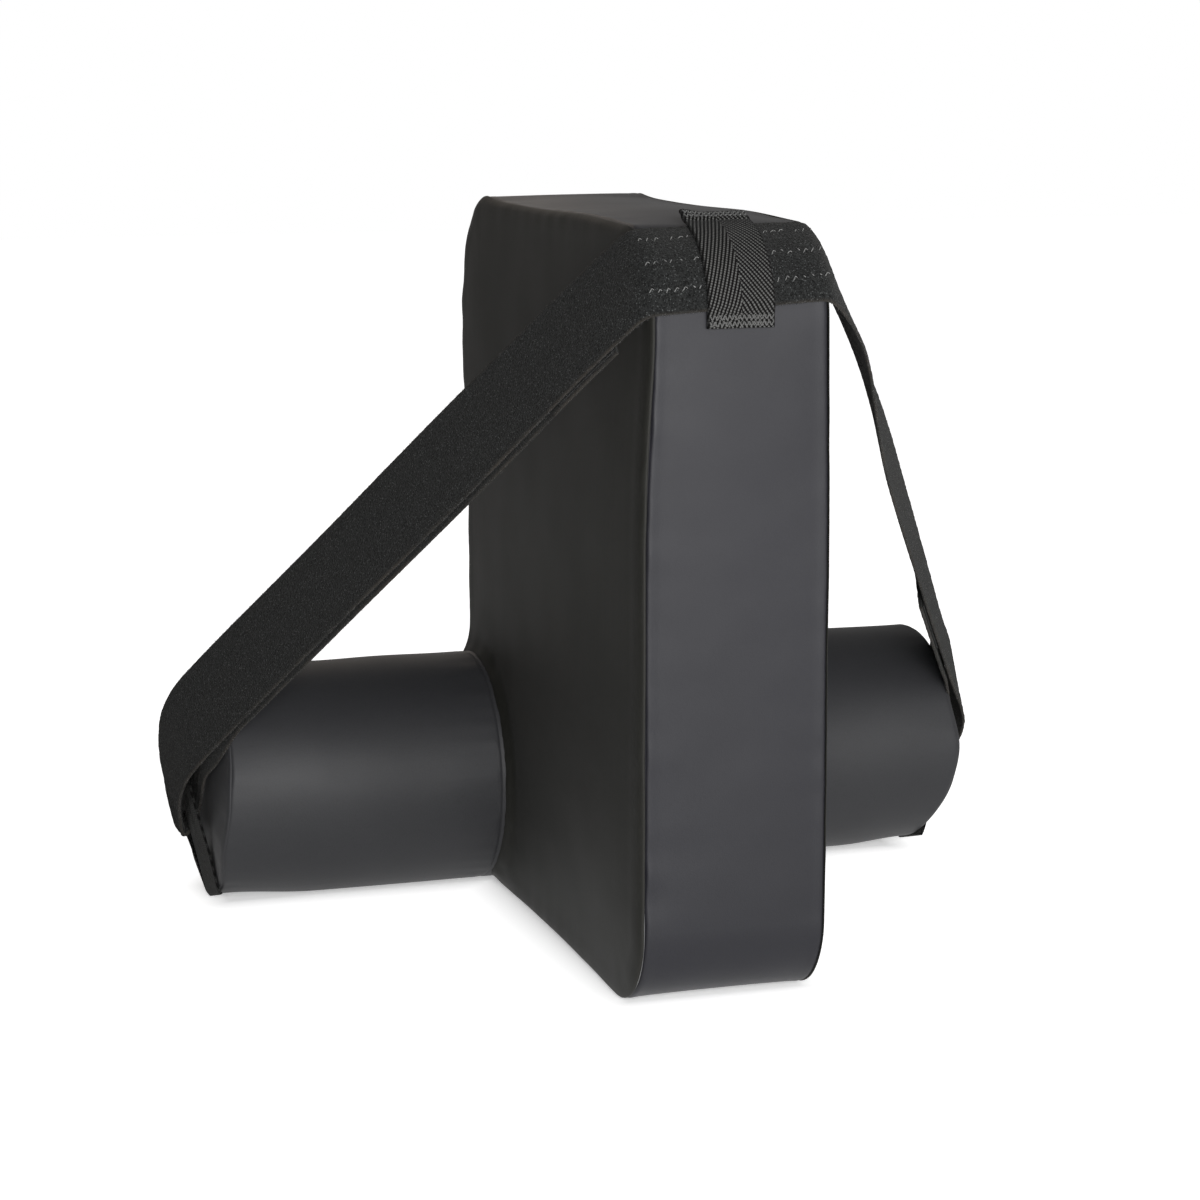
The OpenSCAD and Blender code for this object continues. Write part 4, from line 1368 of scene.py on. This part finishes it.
def floor_material():
    """White paper, lit up beyond the contact shadow; a dim light from below to all but the camera."""
    g = Graph("floor_paper")
    seen = g.add("LightPath").outputs["Is Camera Ray"]
    split = g.add("SeparateXYZ", {0: g.place})
    x, y = g.math("ABSOLUTE", split.outputs[0]), split.outputs[1]

    def beyond(half_x, centre_y, half_y):
        """Distance outside a rectangle on the floor."""
        dx = g.math("MAXIMUM", g.math("SUBTRACT", x, half_x), 0.0)
        dy = g.math("ABSOLUTE", g.math("SUBTRACT", y, centre_y))
        dy = g.math("MAXIMUM", g.math("SUBTRACT", dy, half_y), 0.0)
        return g.math("SQRT", g.math("ADD", g.math("MULTIPLY", dx, dx),
                                     g.math("MULTIPLY", dy, dy)))

    slab = beyond(HALF_W * MM, 0.0, (BACK_Y - 30) * MM)
    roll = beyond((LEFT_END - 5) * MM, ROLL_Y * MM, 18 * MM)
    away = g.remap(g.math("MINIMUM", slab, roll), 0.0, SHADOW_REACH)
    glow = g.remap(g.math("POWER", away, 0.6), 0.0, 1.0, GLOW_NEAR, GLOW_FAR)
    g.put(g.surface.inputs["Emission Color"], rgb(1.0, 1.0, 1.0))
    fill = g.remap(split.outputs[0], -0.50, -0.10, 0.25 * FLOOR_FILL, FLOOR_FILL)
    unseen = g.math("MULTIPLY", g.math("SUBTRACT", 1.0, seen), fill)
    g.put(g.surface.inputs["Emission Strength"], g.math("MULTIPLY_ADD", seen, glow, unseen))
    tone = g.noise(3.0, 2.0, 0.5)
    paper = g.mix(tone, rgb(0.93, 0.93, 0.93), rgb(0.95, 0.95, 0.95))
    # Grey for all but camera rays: painted shade that dims the floor's bounce light on the pieces.
    return g.finish(color=g.mix(seen, rgb(0.80, 0.80, 0.80), paper), rough=0.9, specular=0.0)


def studio_world():
    """White behind the camera's view; for light, a dim room that is brighter to one side."""
    world = bpy.data.worlds.new("studio")
    world.use_nodes = True
    tree = world.node_tree
    tree.nodes.clear()
    node = tree.nodes.new
    way = node("ShaderNodeTexCoord")
    split = node("ShaderNodeSeparateXYZ")
    tree.links.new(way.outputs["Generated"], split.inputs[0])

    def ramp(value, low, high, to_low, to_high):
        out = node("ShaderNodeMapRange")
        out.interpolation_type = "SMOOTHSTEP"
        tree.links.new(value, out.inputs["Value"])
        for key, number in (("From Min", low), ("From Max", high), ("To Min", to_low),
                            ("To Max", to_high)):
            out.inputs[key].default_value = number
        return out.outputs[0]

    def combine(operation, a, b):
        out = node("ShaderNodeMath")
        out.operation = operation
        tree.links.new(a, out.inputs[0])
        if isinstance(b, bpy.types.NodeSocket):
            tree.links.new(b, out.inputs[1])
        else:
            out.inputs[1].default_value = b
        return out.outputs[0]

    x, y, z = split.outputs
    front = ramp(y, 0.4, -1.0, ROOM_BACK, ROOM_FRONT)
    side = ramp(x, -0.9, 0.6, ROOM_LEFT, 1.0)
    high = ramp(z, 0.35, 0.95, 1.0, ROOM_TOP)
    level = combine("MULTIPLY", combine("MULTIPLY", front, side), high)
    room, white, pick, out, path = (node("ShaderNode" + kind) for kind in (
        "Background", "Background", "MixShader", "OutputWorld", "LightPath"))
    tree.links.new(level, room.inputs["Strength"])
    white.inputs["Color"].default_value = rgb(1.0, 1.0, 1.0)
    tree.links.new(path.outputs["Is Camera Ray"], pick.inputs[0])
    tree.links.new(room.outputs[0], pick.inputs[1])
    tree.links.new(white.outputs[0], pick.inputs[2])
    tree.links.new(pick.outputs[0], out.inputs["Surface"])
    return world


GLOW_NEAR, GLOW_FAR, SHADOW_REACH = 0.38, 0.95, 0.04
FLOOR_FILL = 0.42
ROOM_BACK, ROOM_FRONT, ROOM_LEFT, ROOM_TOP = 0.40, 0.90, 0.15, 0.36
bpy.ops.mesh.primitive_plane_add(size=12.0, location=(0, 0, 0))
floor = bpy.context.object
floor.name = "floor"
floor.data.materials.append(floor_material())
floor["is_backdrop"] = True
bpy.context.scene.world = studio_world()


def softbox(name, place, target, width, height, power):
    light = bpy.data.lights.new(name, "AREA")
    light.shape = "RECTANGLE"
    light.size, light.size_y = width, height
    light.energy = power
    obj = bpy.data.objects.new(name, light)
    bpy.context.scene.collection.objects.link(obj)
    obj.location = place
    obj.rotation_euler = (Vector(target) - Vector(place)).to_track_quat("-Z", "Y").to_euler()
    return obj


softbox("key_front_left", (-0.35, -1.9, 0.70), (-0.1, 0.0, 0.12), 0.7, 0.6, 26.0)
softbox("key_front_right", (0.55, -2.2, 0.45), (0.1, 0.0, 0.12), 1.3, 0.8, 12.0)
sheen = softbox("sheen_back", (-0.2, 2.2, 1.1), (0, 0.0, 0.4), 1.6, 0.5, 4.0)
sheen.data.color = (1.0, 0.85, 0.72)

camera_data = bpy.data.cameras.new("camera")
camera_data.sensor_width = 36.0
camera_data.lens = 96.25
camera_data.clip_start, camera_data.clip_end = 0.05, 30.0
camera = bpy.data.objects.new("camera", camera_data)
bpy.context.scene.collection.objects.link(camera)
camera.location = (-0.5916, -1.7547, 0.5355)
aim = Vector((-0.0122, 0.0235, 0.1932)) - camera.location
camera.rotation_euler = aim.to_track_quat("-Z", "Y").to_euler()
bpy.context.scene.camera = camera

low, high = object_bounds()
